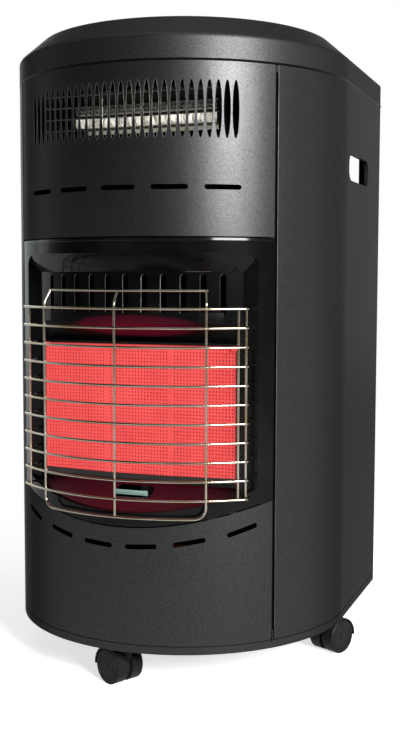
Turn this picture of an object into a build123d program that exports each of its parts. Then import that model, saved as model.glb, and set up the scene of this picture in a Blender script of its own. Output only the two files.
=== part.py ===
from build123d import *
import math
import os

# Portable gas cabinet heater with a ceramic radiant burner and a small electric
# quartz unit above it. Millimetres, +Z up, front towards -Y, +X to the right.
# Every piece is drawn about the axis of the rounded front, and save() moves it so
# that the origin lies on the floor under the middle of the whole footprint.

os.makedirs("parts", exist_ok=True)

# ---- cabinet ----
BODY_WIDTH = 415.0
SIDE_LENGTH = 193.5
SHEET = 1.0
REAR_CORNER = 4.0
REAR_FLANGE = 29.0
FIT_GAP = 0.3
RUNNING_GAP = 0.05
PAD = 1.0

BASE_BOTTOM = 45.0
BASE_RIM = 9.0
BASE_RIM_THICKNESS = 2.5
BASE_FLOOR = 1.2
BASE_UPSTAND = 12.0
LID_LINE = 699.5
LID_BAND = 25.5
LID_RISE = 25.0
LID_INSET = 28.8
LID_SKIRT = 10.0
LID_CREASE_RADIUS = 6.0
LID_EDGE_RADIUS = 5.0
SHADOW_GAP = 1.0

SEAM_ANGLE = 50.0
SEAM_GAP = 3.0
SEAM_DEPTH = 7.0
SEAM_STRIP = 14.0
RETURN_DEPTH = 6.0

# ---- front openings ----
UPPER_PANEL_BOTTOM = 510.3
BEZEL_GAP = 1.5
LOUVRE_COUNT = 28
LOUVRE_PITCH = 2.69
LOUVRE_HEIGHT = 62.0
LOUVRE_WIDTH = 7.6
LOUVRE_CENTRE = 646.4
UPPER_SLOT_COUNT = 5
UPPER_SLOT_PITCH = 16.25
UPPER_SLOT_CENTRE = 563.2
SLOT_LENGTH = 41.0
SLOT_HEIGHT = 5.6
ARCH_CENTRE = 637.0
ARCH_RADIUS = 450.0
LOWER_SLOT_COUNT = 6
LOWER_SLOT_PITCH = 6.45
LOWER_SLOT_DROP = 21.0
LOWER_SLOT_LENGTH = 37.0

# ---- hearth pocket in the bezel ----
POCKET_ANGLE = 44.33
POCKET_TOP = 492.5
POCKET_CORNER = 16.0
POCKET_FOOT_CORNER = 12.0
POCKET_FOOT_RISE = 17.0
POCKET_LIP = 8.0
CHEEK_STEP = 0.6
WALL_RADIUS = 234.0
WALL_SETBACK = 21.5
WALL_TOP = 472.0
VENT_COUNT = 11
VENT_PITCH = 5.42
VENT_WIDTH = 7.0
VENT_HEIGHT = 46.5
VENT_CENTRE = 445.8
PILOT_SLOT_WIDTH = 47.0
PILOT_SLOT_HEIGHT = 11.0
PILOT_SLOT_RISE = 16.0

# ---- radiant burner ----
PLAQUE_COUNT = 3
PLAQUE_WIDTH = 80.0
PLAQUE_HEIGHT = 154.5
PLAQUE_THICKNESS = 12.0
PLAQUE_RISE = 30.5
PLAQUE_SETBACK = 55.5
BURNER_BOX_DEPTH = 30.0
HOOD_RISE = 23.0
FRAME_SIDE = 1.5
FRAME_FOOT = 5.0
FRAME_HEAD = 3.0
FRAME_PROUD = 2.0
PARTITION_TOP = 686.0
FLANGE_ANGLE = 5.0
PLAQUE_SEAM = 0.8
VENTURI_DIAMETER = 24.0
VENTURI_THROAT = 14.0
VENTURI_LENGTH = 62.0
VENTURI_WALL = 1.2
INJECTOR_DIAMETER = 11.0
INJECTOR_LENGTH = 14.0
INJECTOR_TIP = 3.0
MANIFOLD_DIAMETER = 10.0
MANIFOLD_DROP = 24.0
MANIFOLD_HALF = 100.0
CLIP_WIDTH = 14.0
PILOT_DIAMETER = 6.0
PILOT_ARM = 8.0
PILOT_LEAD = 14.0
PILOT_RISE = 6.0
SUPPLY_DIAMETER = 8.0
SUPPLY_BEND = 14.0
SUPPLY_X = 145.0
SUPPLY_HEIGHT = 672.0
TAP_PORT_OFFSET = 14.0

# ---- wire guard ----
WIRE = 2.8
WELD = 0.1
LEAN_BEND = 8.0
GUARD_TAIL_SHARE = 0.2
GUARD_POST_ANGLE = 36.7
GUARD_STANDOFF = 11.5
GUARD_ROW_COUNT = 11
GUARD_TOP_ROW = 431.4
GUARD_FOOT_ROW_RISE = 17.4
GUARD_FACE_ANGLE = 38.5
GUARD_BEND_RADIUS = 5.0
GUARD_BEND_ANGLE = 61.5
LOOP_ANGLE = 27.2
LOOP_TOP = 451.0
LOOP_TOP_SETBACK = 9.0
LOOP_LEAN_HEIGHT = 14.0
LOOP_DROP = 3.5
LOOP_CORNER = 13.0

# ---- electric unit ----
REFLECTOR_HALF = 106.0
REFLECTOR_HEIGHT = 50.0
REFLECTOR_RISE = 4.6
REFLECTOR_DEPTH = 53.0
REFLECTOR_SHEET = 0.8
TUBE_DIAMETER = 11.5
TUBE_PITCH = 14.0
TUBE_LEAD = 25.0
TUBE_RISE = 1.0
END_CAP_LENGTH = 9.0
END_CAP_WALL = 1.5
GRILLE_WIRE = 1.6
GRILLE_COUNT = 4
GRILLE_PITCH = 12.9
GRILLE_LEAD = 9.0
BRACKET_WIDTH = 18.0
BRACKET_SHEET = 1.5

# ---- controls in the lid ----
TRAY_LENGTH = 196.0
TRAY_WIDTH = 84.0
TRAY_DEPTH = 21.0
TRAY_CORNER = 12.0
TRAY_FLANGE = 6.0
TRAY_REAR_MARGIN = 14.0
FACIA_INSET = 4.0
FACIA_SHEET = 1.5
KNOB_X = -56.0
KNOB_DIAMETER = 40.0
KNOB_HEIGHT = 14.5
KNOB_LIFT = 4.4
KNOB_BORE_DEPTH = 9.0
KNOB_CHAMFER = 1.5
KNOB_SKIRT = 3.0
FLUTE_COUNT = 12
FLUTE_RADIUS = 5.0
FLUTE_DEPTH = 1.6
POINTER_WIDTH = 2.4
POINTER_DEPTH = 1.2
PUSH_TRAVEL = 3.5
SPINDLE_DIAMETER = 8.0
SPINDLE_LENGTH = 34.0
PLUG_DIAMETER = 16.0
PLUG_HEIGHT = 25.0
PLUG_SEAT = 3.0
VALVE_LENGTH = 46.0
VALVE_WIDTH = 38.0
VALVE_HEIGHT = 30.0
BONNET_HEIGHT = 5.0
BONNET_DIAMETER = 24.0
INLET_THREAD = 13.157
INLET_LENGTH = 16.0
INLET_HEX = 19.0
INLET_HEX_HEIGHT = 7.0
INLET_BORE = 6.0
IGNITER_X = -9.0
IGNITER_BODY = 18.0
IGNITER_DEPTH = 32.0
IGNITER_COLLAR = 24.0
BUTTON_DIAMETER = 12.0
BUTTON_PROUD = 8.0
BUTTON_SUNK = 14.0
BUTTON_TRAVEL = 5.0
COLLAR_HEIGHT = 2.5
SWITCH_X = (33.0, 66.0)
SWITCH_WIDTH = 20.0
SWITCH_LENGTH = 27.0
SWITCH_DEPTH = 20.0
SWITCH_FLANGE = 2.0
ROCKER_WIDTH = 14.6
ROCKER_LENGTH = 19.2
ROCKER_HORN = 4.6
ROCKER_DIP = 2.2
ROCKER_TILT = 8.0
ROCKER_PIN = 3.0
GLAND_X = 130.0
GLAND_Z = 714.0
GLAND_DIAMETER = 20.0
GLAND_BORE = 7.5

# ---- hand holes and rear ----
HAND_HOLE_LENGTH = 108.0
HAND_HOLE_HEIGHT = 32.0
HAND_HOLE_CORNER = 13.0
HAND_HOLE_Y = 63.0
HAND_HOLE_Z = 600.0
HAND_HOLE_LIP = 5.0
COVER_TOP = 545.0
COVER_LAP = 10.0
COVER_MARGIN = 20.0
COVER_BOW = 20.0
COVER_RETURN = 4.0
COVER_SLOT_COUNT = 7
COVER_SLOT_PITCH = 26.0
HOOK_WIDTH = 36.0
HOOK_SHEET = 2.0
HOOK_X = 110.0
HOOK_DEPTH = 9.5
HOOK_LIP = 3.0
COVER_SLOT_HEIGHT = 40.0
COVER_SLOT_RISE = 80.0
TAB_WIDTH = 22.0
TAB_LENGTH = 9.0
CATCH_WIDTH = 6.5
CATCH_HEIGHT = 28.0

# ---- gas bottle that the bay is made for ----
BOTTLE_DIAMETER = 305.0
BOTTLE_CLEARANCE = 5.0
PLATFORM_DIAMETER = 276.0
PLATFORM_FLARE = 6.0

# ---- castors ----
CASTER_INSET = 22.0
CASTER_TRAIL = 13.0
WHEEL_DIAMETER = 41.0
WHEEL_WIDTH = 16.2
CASTER_WIDTH = 37.2
WEB_THICKNESS = 3.6
WEB_CLEARANCE = 3.0
HOOD_GAP = 0.8
HOOD_SHEET = 2.1
HOOD_SWEEP = 132.0
HOOD_DROP = 3.0
AXLE_COVER = 3.0
WHEEL_EASE = 1.2
STEM_ENGAGE = 5.0
AXLE_DIAMETER = 5.0
STEM_DIAMETER = 6.0
STEM_BOSS = 12.0
SOCKET_DIAMETER = 16.0
SOCKET_HEIGHT = 22.0
CASTER_REAR_INSET = 21.5
CASTER_HEADINGS = {"front": 152.9, "right": 63.5, "left": 116.5, "rear": 80.0}

# ---- screws on the hidden rear ----
SCREW_HEAD = 7.0
SCREW_HEIGHT = 2.0
SCREW_INSET = 11.5

# ---- sizes that follow from those above ----
BODY_RADIUS = BODY_WIDTH / 2
RIM_TOP = BASE_BOTTOM + BASE_RIM
FLOOR_TOP = BASE_BOTTOM + BASE_FLOOR
UPSTAND_TOP = RIM_TOP + BASE_UPSTAND
PANEL_BOTTOM = RIM_TOP + SHADOW_GAP
PANEL_TOP = LID_LINE - SHADOW_GAP
SKIRT_BOTTOM = LID_LINE - LID_SKIRT
LID_CREASE = LID_LINE + LID_BAND
LID_TOP = LID_CREASE + LID_RISE
INNER_FIT = SHEET + FIT_GAP
SEAM_HALF = math.degrees(SEAM_GAP / 2 / BODY_RADIUS)
SHEET_ANGLE = math.degrees(SHEET / BODY_RADIUS)
BEZEL_TOP = UPPER_PANEL_BOTTOM - BEZEL_GAP
FRONT_ANGLE = SEAM_ANGLE - SEAM_HALF
LOWER_SLOT_RADIUS = ARCH_RADIUS + LOWER_SLOT_DROP
POCKET_HALF = BODY_RADIUS * math.sin(math.radians(POCKET_ANGLE))
POCKET_ARCH_RADIUS = ARCH_RADIUS - POCKET_FOOT_RISE
POCKET_FOOT = ARCH_CENTRE - POCKET_ARCH_RADIUS
CHEEK_FRONT = -BODY_RADIUS * math.cos(math.radians(POCKET_ANGLE)) - CHEEK_STEP
WALL_AXIS = WALL_RADIUS + WALL_SETBACK - BODY_RADIUS
PLAQUE_BOTTOM = POCKET_FOOT + PLAQUE_RISE
PLAQUE_TOP = PLAQUE_BOTTOM + PLAQUE_HEIGHT
PLAQUE_FRONT = PLAQUE_SETBACK - BODY_RADIUS
PLAQUE_BACK = PLAQUE_FRONT + PLAQUE_THICKNESS
PARTITION_FRONT = PLAQUE_BACK + BURNER_BOX_DEPTH
FRAME_BOTTOM = PLAQUE_BOTTOM - FRAME_FOOT
FRAME_TOP = PLAQUE_TOP + FRAME_HEAD
WALL_BOTTOM = FRAME_TOP + HOOD_RISE
BURNER_HALF = PLAQUE_COUNT * PLAQUE_WIDTH / 2
WINDOW_HALF = BURNER_HALF + 2 * SHEET
TRAY_FRONT_HEIGHT = POCKET_FOOT - 2 * SHEET
PILOT_SLOT_CENTRE = POCKET_FOOT + PILOT_SLOT_RISE
PILOT_Y = PLAQUE_FRONT - PILOT_LEAD
PILOT_Z = POCKET_FOOT + PILOT_RISE
FRAME_REAR = PLAQUE_BACK + FRAME_PROUD
FRAME_DEPTH = FRAME_REAR - PLAQUE_FRONT + FRAME_PROUD
VENTURI_Y = (FRAME_REAR + PARTITION_FRONT) / 2
MANIFOLD_Z = PLAQUE_BOTTOM - VENTURI_LENGTH - MANIFOLD_DROP
GUARD_RADIUS = BODY_RADIUS + GUARD_STANDOFF
GUARD_FOOT_ROW = POCKET_FOOT + GUARD_FOOT_ROW_RISE
GUARD_ROW_PITCH = (GUARD_TOP_ROW - GUARD_FOOT_ROW) / (GUARD_ROW_COUNT - 1)
LOOP_BOTTOM = POCKET_FOOT - LOOP_DROP
REFLECTOR_CENTRE = LOUVRE_CENTRE + REFLECTOR_RISE
REFLECTOR_FRONT = PARTITION_FRONT - REFLECTOR_DEPTH
TUBE_AXIS_Y = PARTITION_FRONT - TUBE_LEAD
TUBE_AXIS_Z = REFLECTOR_CENTRE + TUBE_RISE
GRILLE_FRONT = REFLECTOR_FRONT - GRILLE_LEAD
TRAY_CENTRE = SIDE_LENGTH - TRAY_REAR_MARGIN - TRAY_WIDTH / 2
TRAY_TOP = LID_TOP - SHEET
TRAY_FLOOR = TRAY_TOP - TRAY_DEPTH
FACIA_TOP = TRAY_FLOOR + FACIA_SHEET
TRAY_UNDERSIDE = TRAY_FLOOR - SHEET
FLANGE_INNER = BODY_RADIUS - REAR_FLANGE
VALVE_TOP = TRAY_UNDERSIDE - BONNET_HEIGHT
VALVE_BOTTOM = VALVE_TOP - VALVE_HEIGHT
KNOB_BOTTOM = FACIA_TOP + KNOB_LIFT
SPINDLE_FOOT = KNOB_BOTTOM + KNOB_BORE_DEPTH - SPINDLE_LENGTH
BUTTON_FOOT = FACIA_TOP - BUTTON_SUNK
ROCKER_AXIS = FACIA_TOP + SWITCH_FLANGE / 2
STEM_FOOT = BASE_BOTTOM - STEM_ENGAGE
STEM_TOP = BASE_BOTTOM + SOCKET_HEIGHT - PAD
BOTTLE_Y = PARTITION_FRONT + SHEET + BOTTLE_CLEARANCE + BOTTLE_DIAMETER / 2
PLATFORM_TOP = BASE_BOTTOM + SOCKET_HEIGHT + BASE_FLOOR
COVER_FRONT = SIDE_LENGTH + FIT_GAP
COVER_SKIN = COVER_FRONT + COVER_RETURN
COVER_HALF = FLANGE_INNER + COVER_LAP
COVER_BOTTOM = RIM_TOP + 2 * SHADOW_GAP
TAB_FOOT = COVER_BOTTOM - TAB_LENGTH
REAR_REACH = COVER_SKIN + COVER_BOW + SHEET
WHEEL_RADIUS = WHEEL_DIAMETER / 2
STEM_RING = BODY_RADIUS - CASTER_INSET
CASTER_REAR = SIDE_LENGTH - CASTER_REAR_INSET
SCREW_X = BODY_RADIUS - SCREW_INSET
FRONT_REACH = GUARD_RADIUS + WIRE / 2
ARC_Y = (FRONT_REACH - REAR_REACH) / 2


def save(shape, name):
    """Write one piece, moved so that the origin is under the middle of the footprint."""
    export_step(Pos(0, ARC_Y, 0) * shape, f"parts/{name}.step")


def polar(angle, radius, z=0.0):
    """Point at an angle from straight ahead, counted towards +X."""
    turn = math.radians(angle)
    return Vector(radius * math.sin(turn), -radius * math.cos(turn), z)


def band(outer, inner, start, end):
    """Plan of a strip between two radii and two angles about the front's axis."""
    middle = (start + end) / 2
    edges = [
        ThreePointArc(polar(start, outer), polar(middle, outer), polar(end, outer)),
        Line(polar(end, outer), polar(end, inner)),
        ThreePointArc(polar(end, inner), polar(middle, inner), polar(start, inner)),
        Line(polar(start, inner), polar(start, outer)),
    ]
    return make_face(edges)


def rise(face, bottom, top):
    """Upright prism over a plan face."""
    return Pos(0, 0, bottom) * extrude(face, amount=top - bottom, dir=(0, 0, 1))


def block(x_low, x_high, y_low, y_high, z_low, z_high):
    """Box given by its limits."""
    centre = Pos((x_low + x_high) / 2, (y_low + y_high) / 2, (z_low + z_high) / 2)
    return centre * Box(x_high - x_low, y_high - y_low, z_high - z_low)


def rod(diameter, bottom, top, x=0.0, y=0.0):
    """Upright cylinder between two heights."""
    return Pos(x, y, (bottom + top) / 2) * Cylinder(diameter / 2, top - bottom)


def cross_rod(diameter, x_low, x_high, y, z):
    """Cylinder along X."""
    turned = Rot(0, 90, 0) * Cylinder(diameter / 2, x_high - x_low)
    return Pos((x_low + x_high) / 2, y, z) * turned


def plan_outline(inset):
    """Plan of the cabinet drawn in by an inset: half-round front, straight sides, flat rear."""
    half = BODY_RADIUS - inset
    rear = SIDE_LENGTH - inset
    corner = max(REAR_CORNER - inset, FIT_GAP)
    slack = corner * (1 - math.sqrt(0.5))
    edges = [
        ThreePointArc((-half, 0), (0, -half), (half, 0)),
        Line((half, 0), (half, rear - corner)),
        ThreePointArc((half, rear - corner), (half - slack, rear - slack), (half - corner, rear)),
        Line((half - corner, rear), (corner - half, rear)),
        ThreePointArc((corner - half, rear), (slack - half, rear - slack), (-half, rear - corner)),
        Line((-half, rear - corner), (-half, 0)),
    ]
    return make_face(edges)


def plan_prism(inset, bottom, top):
    """Solid of the cabinet's plan between two heights."""
    return rise(plan_outline(inset), bottom, top)


def plan_wall(inset, thickness, bottom, top):
    """Upright wall that follows the cabinet's plan."""
    return plan_prism(inset, bottom, top) - plan_prism(inset + thickness, bottom - PAD, top + PAD)


def facing_prism(profile, back, front):
    """Prism of a profile drawn in X and Z, running forwards between two Y places."""
    return Pos(0, back, 0) * extrude(Plane.XZ * profile, amount=back - front)


def arch_height(radius, x):
    """Height of an arch about the hearth's common centre at a place across the front."""
    return ARCH_CENTRE - math.sqrt(radius**2 - x**2)


def arch_prism(radius):
    """Everything inside an arch about the hearth's common centre, in front of the axis."""
    return facing_prism(Pos(0, ARCH_CENTRE) * Circle(radius), 0, -BODY_WIDTH)


def centred_steps(count, pitch):
    """Evenly spaced values about zero."""
    return [(index - (count - 1) / 2) * pitch for index in range(count)]


def caster_places():
    """Stem positions of the four castors, by name."""
    return {
        "front": Vector(0, -STEM_RING),
        "right": Vector(STEM_RING, 0),
        "left": Vector(-STEM_RING, 0),
        "rear": Vector(0, CASTER_REAR),
    }


# ---- cabinet pieces ----


def bottle_platform(inset):
    """Raised dish that the gas bottle stands on, made smaller by the sheet for its hollow."""
    foot = BASE_BOTTOM - (PAD if inset else 0)
    radius = PLATFORM_DIAMETER / 2 - inset
    dish = tube_profile((foot, PLATFORM_TOP - inset), (radius + PLATFORM_FLARE, radius))
    return Pos(0, BOTTLE_Y, 0) * dish & plan_prism(BASE_RIM_THICKNESS + inset, 0, LID_LINE)


def base_pan():
    """Pressed pan: floor, hemmed rim, upstand inside the panels, bottle platform, castor sockets."""
    pan = plan_wall(0, BASE_RIM_THICKNESS, BASE_BOTTOM, RIM_TOP)
    pan += plan_prism(0, BASE_BOTTOM, FLOOR_TOP)
    pan += plan_wall(INNER_FIT, BASE_RIM_THICKNESS - INNER_FIT, RIM_TOP, UPSTAND_TOP)
    pan += bottle_platform(0)
    pan -= bottle_platform(BASE_FLOOR)
    for place in caster_places().values():
        pan += rod(SOCKET_DIAMETER, BASE_BOTTOM, BASE_BOTTOM + SOCKET_HEIGHT, place.X, place.Y)
        pan -= rod(STEM_DIAMETER, BASE_BOTTOM, STEM_TOP, place.X, place.Y)
    return pan


def seam_strip(start, end):
    """Stepped strip behind a seam: a turned-in edge and the strip that backs the groove."""
    edge = band(BODY_RADIUS, BODY_RADIUS - SEAM_DEPTH - SHEET, start, start + SHEET_ANGLE)
    strip = band(BODY_RADIUS - SEAM_DEPTH, BODY_RADIUS - SEAM_DEPTH - SHEET, end, start + SHEET_ANGLE)
    bottom = UPSTAND_TOP + PAD
    top = SKIRT_BOTTOM - PAD
    return rise(edge, bottom, top) + rise(strip, bottom, top)


def hand_hole(grow):
    """Rounded hand hole outline in the side, grown by an amount."""
    length = HAND_HOLE_LENGTH + 2 * grow
    height = HAND_HOLE_HEIGHT + 2 * grow
    outline = RectangleRounded(length, height, HAND_HOLE_CORNER + grow)
    return Plane.YZ * Pos(HAND_HOLE_Y, HAND_HOLE_Z) * outline


def side_panel():
    """Right side: skin from seam to rear corner, rear flange, seam strip, lipped hand hole."""
    reach = 2 * BODY_WIDTH
    seam = polar(SEAM_ANGLE + SEAM_HALF, reach)
    region = Polyline((0, 0), (seam.X, seam.Y), (reach, seam.Y), (reach, reach), (0, reach), close=True)
    panel = plan_wall(0, SHEET, PANEL_BOTTOM, PANEL_TOP)
    panel &= rise(make_face(region), PANEL_BOTTOM, PANEL_TOP)
    rear_low = SIDE_LENGTH - SHEET - PAD
    panel -= block(-PAD, FLANGE_INNER, rear_low, SIDE_LENGTH + PAD, 0, LID_TOP)
    strip_angle = math.degrees(SEAM_STRIP / BODY_RADIUS)
    panel += seam_strip(SEAM_ANGLE + SEAM_HALF, SEAM_ANGLE - strip_angle)
    lip = Pos(BODY_RADIUS - HAND_HOLE_LIP, 0, 0) * extrude(hand_hole(SHEET), amount=HAND_HOLE_LIP)
    hole = Pos(BODY_RADIUS - BASE_UPSTAND, 0, 0) * extrude(hand_hole(0), amount=2 * BASE_UPSTAND)
    return panel + lip - hole


def front_returns(bottom, top):
    """Turned-in upright edges of a front panel, just clear of the seam strips."""
    inner = BODY_RADIUS - SEAM_DEPTH + FIT_GAP
    low = max(bottom, UPSTAND_TOP + PAD)
    high = min(top, SKIRT_BOTTOM - PAD)
    right = rise(band(BODY_RADIUS, inner, FRONT_ANGLE - SHEET_ANGLE, FRONT_ANGLE), low, high)
    return right + mirror(right, about=Plane.YZ)


def front_skin(bottom, top):
    """Curved front sheet between the two seams."""
    return rise(band(BODY_RADIUS, BODY_RADIUS - SHEET, -FRONT_ANGLE, FRONT_ANGLE), bottom, top)


def front_ledge(bottom):
    """Turned-in level edge of a front panel."""
    shape = band(BODY_RADIUS, BODY_RADIUS - RETURN_DEPTH, -FRONT_ANGLE, FRONT_ANGLE)
    return rise(shape, bottom, bottom + SHEET)


def upper_front_panel():
    """Upper front: a row of upright lens-shaped louvres over a row of level slots."""
    panel = front_skin(UPPER_PANEL_BOTTOM, PANEL_TOP)
    panel += front_returns(UPPER_PANEL_BOTTOM, PANEL_TOP)
    panel += front_ledge(UPPER_PANEL_BOTTOM)
    louvre_outline = Pos(0, LOUVRE_CENTRE) * Ellipse(LOUVRE_WIDTH / 2, LOUVRE_HEIGHT / 2)
    louvre = facing_prism(louvre_outline, -BODY_RADIUS / 2, -BODY_WIDTH)
    slot_outline = Pos(0, UPPER_SLOT_CENTRE) * SlotOverall(SLOT_LENGTH, SLOT_HEIGHT)
    slot = facing_prism(slot_outline, -BODY_RADIUS / 2, -BODY_WIDTH)
    cuts = [Rot(0, 0, turn) * louvre for turn in centred_steps(LOUVRE_COUNT, LOUVRE_PITCH)]
    cuts += [Rot(0, 0, turn) * slot for turn in centred_steps(UPPER_SLOT_COUNT, UPPER_SLOT_PITCH)]
    return panel - cuts


def lower_front_panel():
    """Lower front: arched top edge and a row of slots that follows the arch."""
    panel = front_skin(PANEL_BOTTOM, ARCH_CENTRE) + front_returns(PANEL_BOTTOM, ARCH_CENTRE)
    panel -= arch_prism(ARCH_RADIUS)
    outline = SlotOverall(LOWER_SLOT_LENGTH, SLOT_HEIGHT)
    for turn in centred_steps(LOWER_SLOT_COUNT, LOWER_SLOT_PITCH):
        swing = math.radians(turn)
        across = LOWER_SLOT_RADIUS * math.sin(swing)
        height = ARCH_CENTRE - LOWER_SLOT_RADIUS * math.cos(swing)
        facing = math.degrees(math.asin(across / BODY_RADIUS))
        tool = facing_prism(Pos(0, height) * Rot(0, 0, turn) * outline, 0, -BODY_WIDTH)
        panel -= Rot(0, 0, facing) * tool
    return panel


# ---- hearth ----


def pocket_outline(grow):
    """Front outline of the hearth pocket: square head with round corners, arched foot."""
    half = POCKET_HALF + grow
    top = POCKET_TOP + grow
    radius = POCKET_ARCH_RADIUS + grow
    foot = arch_height(radius, half)
    edges = [
        Line((-half, foot), (-half, top)),
        Line((-half, top), (half, top)),
        Line((half, top), (half, foot)),
        ThreePointArc((half, foot), (0, ARCH_CENTRE - radius), (-half, foot)),
    ]
    outline = make_face(edges)
    outline = fillet(outline.vertices().sort_by(Axis.Y)[-2:], POCKET_CORNER + grow)
    return fillet(outline.vertices().sort_by(Axis.Y)[:2], POCKET_FOOT_CORNER + grow)


def hearth_volume(grow):
    """Space of the hearth pocket, grown by the sheet for its outside."""
    wall = Pos(0, WALL_AXIS, 0) * Circle(WALL_RADIUS - grow)
    slope_foot = WALL_TOP + grow
    slope_head = POCKET_TOP + grow
    slope = loft([Pos(0, 0, slope_foot) * wall, Pos(0, 0, slope_head) * Circle(BODY_RADIUS)])
    behind = rise(wall, 0, slope_foot) + slope
    return facing_prism(pocket_outline(grow), CHEEK_FRONT + grow, -BODY_WIDTH) - behind


def front_bezel():
    """Hearth surround: curved sheet with a pocket formed in it and a vented back wall."""
    bezel = front_skin(0, BEZEL_TOP) + front_returns(0, BEZEL_TOP)
    bezel &= arch_prism(ARCH_RADIUS - BEZEL_GAP)
    bezel += front_ledge(BEZEL_TOP - SHEET)
    bezel -= facing_prism(pocket_outline(0), CHEEK_FRONT, -BODY_WIDTH)
    shell = hearth_volume(SHEET) - hearth_volume(0)
    bezel += shell & rod(BODY_WIDTH, 0, LID_LINE)
    window = block(-WINDOW_HALF, WINDOW_HALF, -BODY_WIDTH, CHEEK_FRONT + 2 * SHEET, 0, WALL_BOTTOM)
    bezel -= window & rod(BODY_WIDTH - 2 * POCKET_LIP, 0, LID_LINE)
    outline = Pos(0, VENT_CENTRE) * SlotOverall(VENT_HEIGHT, VENT_WIDTH, rotation=90)
    vent = facing_prism(outline, -BODY_RADIUS, -BODY_WIDTH)
    turned = [Rot(0, 0, turn) * vent for turn in centred_steps(VENT_COUNT, VENT_PITCH)]
    return bezel - [Pos(0, WALL_AXIS, 0) * tool for tool in turned]


def strip_face(front, back, z):
    """Thin straight strip across the burner's width, level."""
    width = 2 * BURNER_HALF + 2 * FRAME_SIDE
    return Pos(0, (front + back) / 2, z) * Rectangle(width, back - front)


def curved_strip(radius, axis, z):
    """Thin curved strip across the burner's width, level, one sheet thick."""
    half = BURNER_HALF + FRAME_SIDE
    outer = axis - math.sqrt(radius**2 - half**2)
    inner_radius = radius - SHEET
    inner = axis - math.sqrt(inner_radius**2 - half**2)
    edges = [
        ThreePointArc((-half, outer), (0, axis - radius), (half, outer)),
        Line((half, outer), (half, inner)),
        ThreePointArc((half, inner), (0, axis - inner_radius), (-half, inner)),
        Line((-half, inner), (-half, outer)),
    ]
    return Pos(0, 0, z) * make_face(edges)


def burner_hood():
    """Sloping reflector from the vented wall down to the head of the burner."""
    foot = strip_face(FRAME_REAR - SHEET - FRAME_DEPTH / 2, FRAME_REAR - FRAME_DEPTH / 2, FRAME_TOP)
    return loft([foot, curved_strip(WALL_RADIUS, WALL_AXIS, WALL_BOTTOM)], ruled=True)


def burner_tray():
    """Sloping reflector from the foot of the burner down to the lip of the pocket."""
    back = strip_face(FRAME_REAR - SHEET - FRAME_DEPTH / 2, FRAME_REAR - FRAME_DEPTH / 2, FRAME_BOTTOM)
    front = curved_strip(BODY_RADIUS - POCKET_LIP, 0, TRAY_FRONT_HEIGHT)
    tray = loft([front, back], ruled=True)
    outline = Pos(0, PILOT_SLOT_CENTRE) * SlotOverall(PILOT_SLOT_WIDTH, PILOT_SLOT_HEIGHT)
    return tray - facing_prism(outline, PARTITION_FRONT, -BODY_WIDTH)


# ---- radiant burner ----


def burner_frame():
    """Pressed surround that holds the plaques."""
    half = BURNER_HALF + FRAME_SIDE
    frame = block(-half, half, PLAQUE_FRONT - FRAME_PROUD, FRAME_REAR, FRAME_BOTTOM, FRAME_TOP)
    return frame - block(-BURNER_HALF, BURNER_HALF, -BODY_WIDTH, 0, PLAQUE_BOTTOM, PLAQUE_TOP)


def plaque():
    """Ceramic plaque with eased front edges."""
    half = PLAQUE_WIDTH / 2 - PLAQUE_SEAM / 2
    tile = block(-half, half, PLAQUE_FRONT, PLAQUE_BACK, PLAQUE_BOTTOM, PLAQUE_TOP)
    return chamfer(tile.faces().sort_by(Axis.Y)[0].edges(), PLAQUE_SEAM)


def burner_box():
    """Gas chamber behind one plaque, with the mixing tube that feeds it from below."""
    half = PLAQUE_WIDTH / 2 - PLAQUE_SEAM
    box = block(-half, half, PLAQUE_BACK, PARTITION_FRONT, PLAQUE_BOTTOM, PLAQUE_TOP)
    hollow = block(
        SHEET - half,
        half - SHEET,
        PLAQUE_BACK - PAD,
        PARTITION_FRONT - SHEET,
        PLAQUE_BOTTOM + SHEET,
        PLAQUE_TOP - SHEET,
    )
    throat = PLAQUE_BOTTOM - VENTURI_LENGTH / 2
    mouth = PLAQUE_BOTTOM - VENTURI_LENGTH
    places = (PLAQUE_BOTTOM, throat, mouth)
    radii = (VENTURI_DIAMETER / 2, VENTURI_THROAT / 2, VENTURI_DIAMETER / 2)
    outer = tube_profile(places, radii)
    inner = tube_profile(places, [radius - VENTURI_WALL for radius in radii])
    mixing = Pos(0, VENTURI_Y, 0) * (outer - inner)
    passage = rod(
        VENTURI_DIAMETER - 2 * VENTURI_WALL,
        PLAQUE_BOTTOM - PAD,
        PLAQUE_BOTTOM + 2 * SHEET,
        0,
        VENTURI_Y,
    )
    return box - hollow - passage + mixing


def tube_profile(places, radii):
    """Turned body through radii at heights, as a stack of cones."""
    points = [(0, places[0])] + list(zip(radii, places)) + [(0, places[-1])]
    section = make_face(Polyline(*points, close=True))
    return revolve(Plane.XZ * section, Axis.Z)


def gas_manifold():
    """Feed pipe under the mixing tubes with three injectors and its two clips."""
    reach = MANIFOLD_HALF
    pipe = cross_rod(MANIFOLD_DIAMETER, -reach, reach, VENTURI_Y, MANIFOLD_Z)
    mouth = PLAQUE_BOTTOM - VENTURI_LENGTH
    for x in centred_steps(PLAQUE_COUNT, PLAQUE_WIDTH):
        pipe += rod(INJECTOR_DIAMETER, MANIFOLD_Z, MANIFOLD_Z + INJECTOR_LENGTH, x, VENTURI_Y)
        pipe += rod(INJECTOR_DIAMETER / 2, MANIFOLD_Z, mouth + INJECTOR_TIP, x, VENTURI_Y)
    for x in (-PLAQUE_WIDTH / 2, PLAQUE_WIDTH / 2):
        pipe += block(
            x - CLIP_WIDTH / 2,
            x + CLIP_WIDTH / 2,
            VENTURI_Y,
            PARTITION_FRONT,
            MANIFOLD_Z - SHEET,
            MANIFOLD_Z + SHEET,
        )
    return pipe


def tube_along(path, diameter):
    """Round bar or tube body that follows a path."""
    return sweep(Plane(path @ 0, z_dir=path % 0) * Circle(diameter / 2), path=path)


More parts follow.
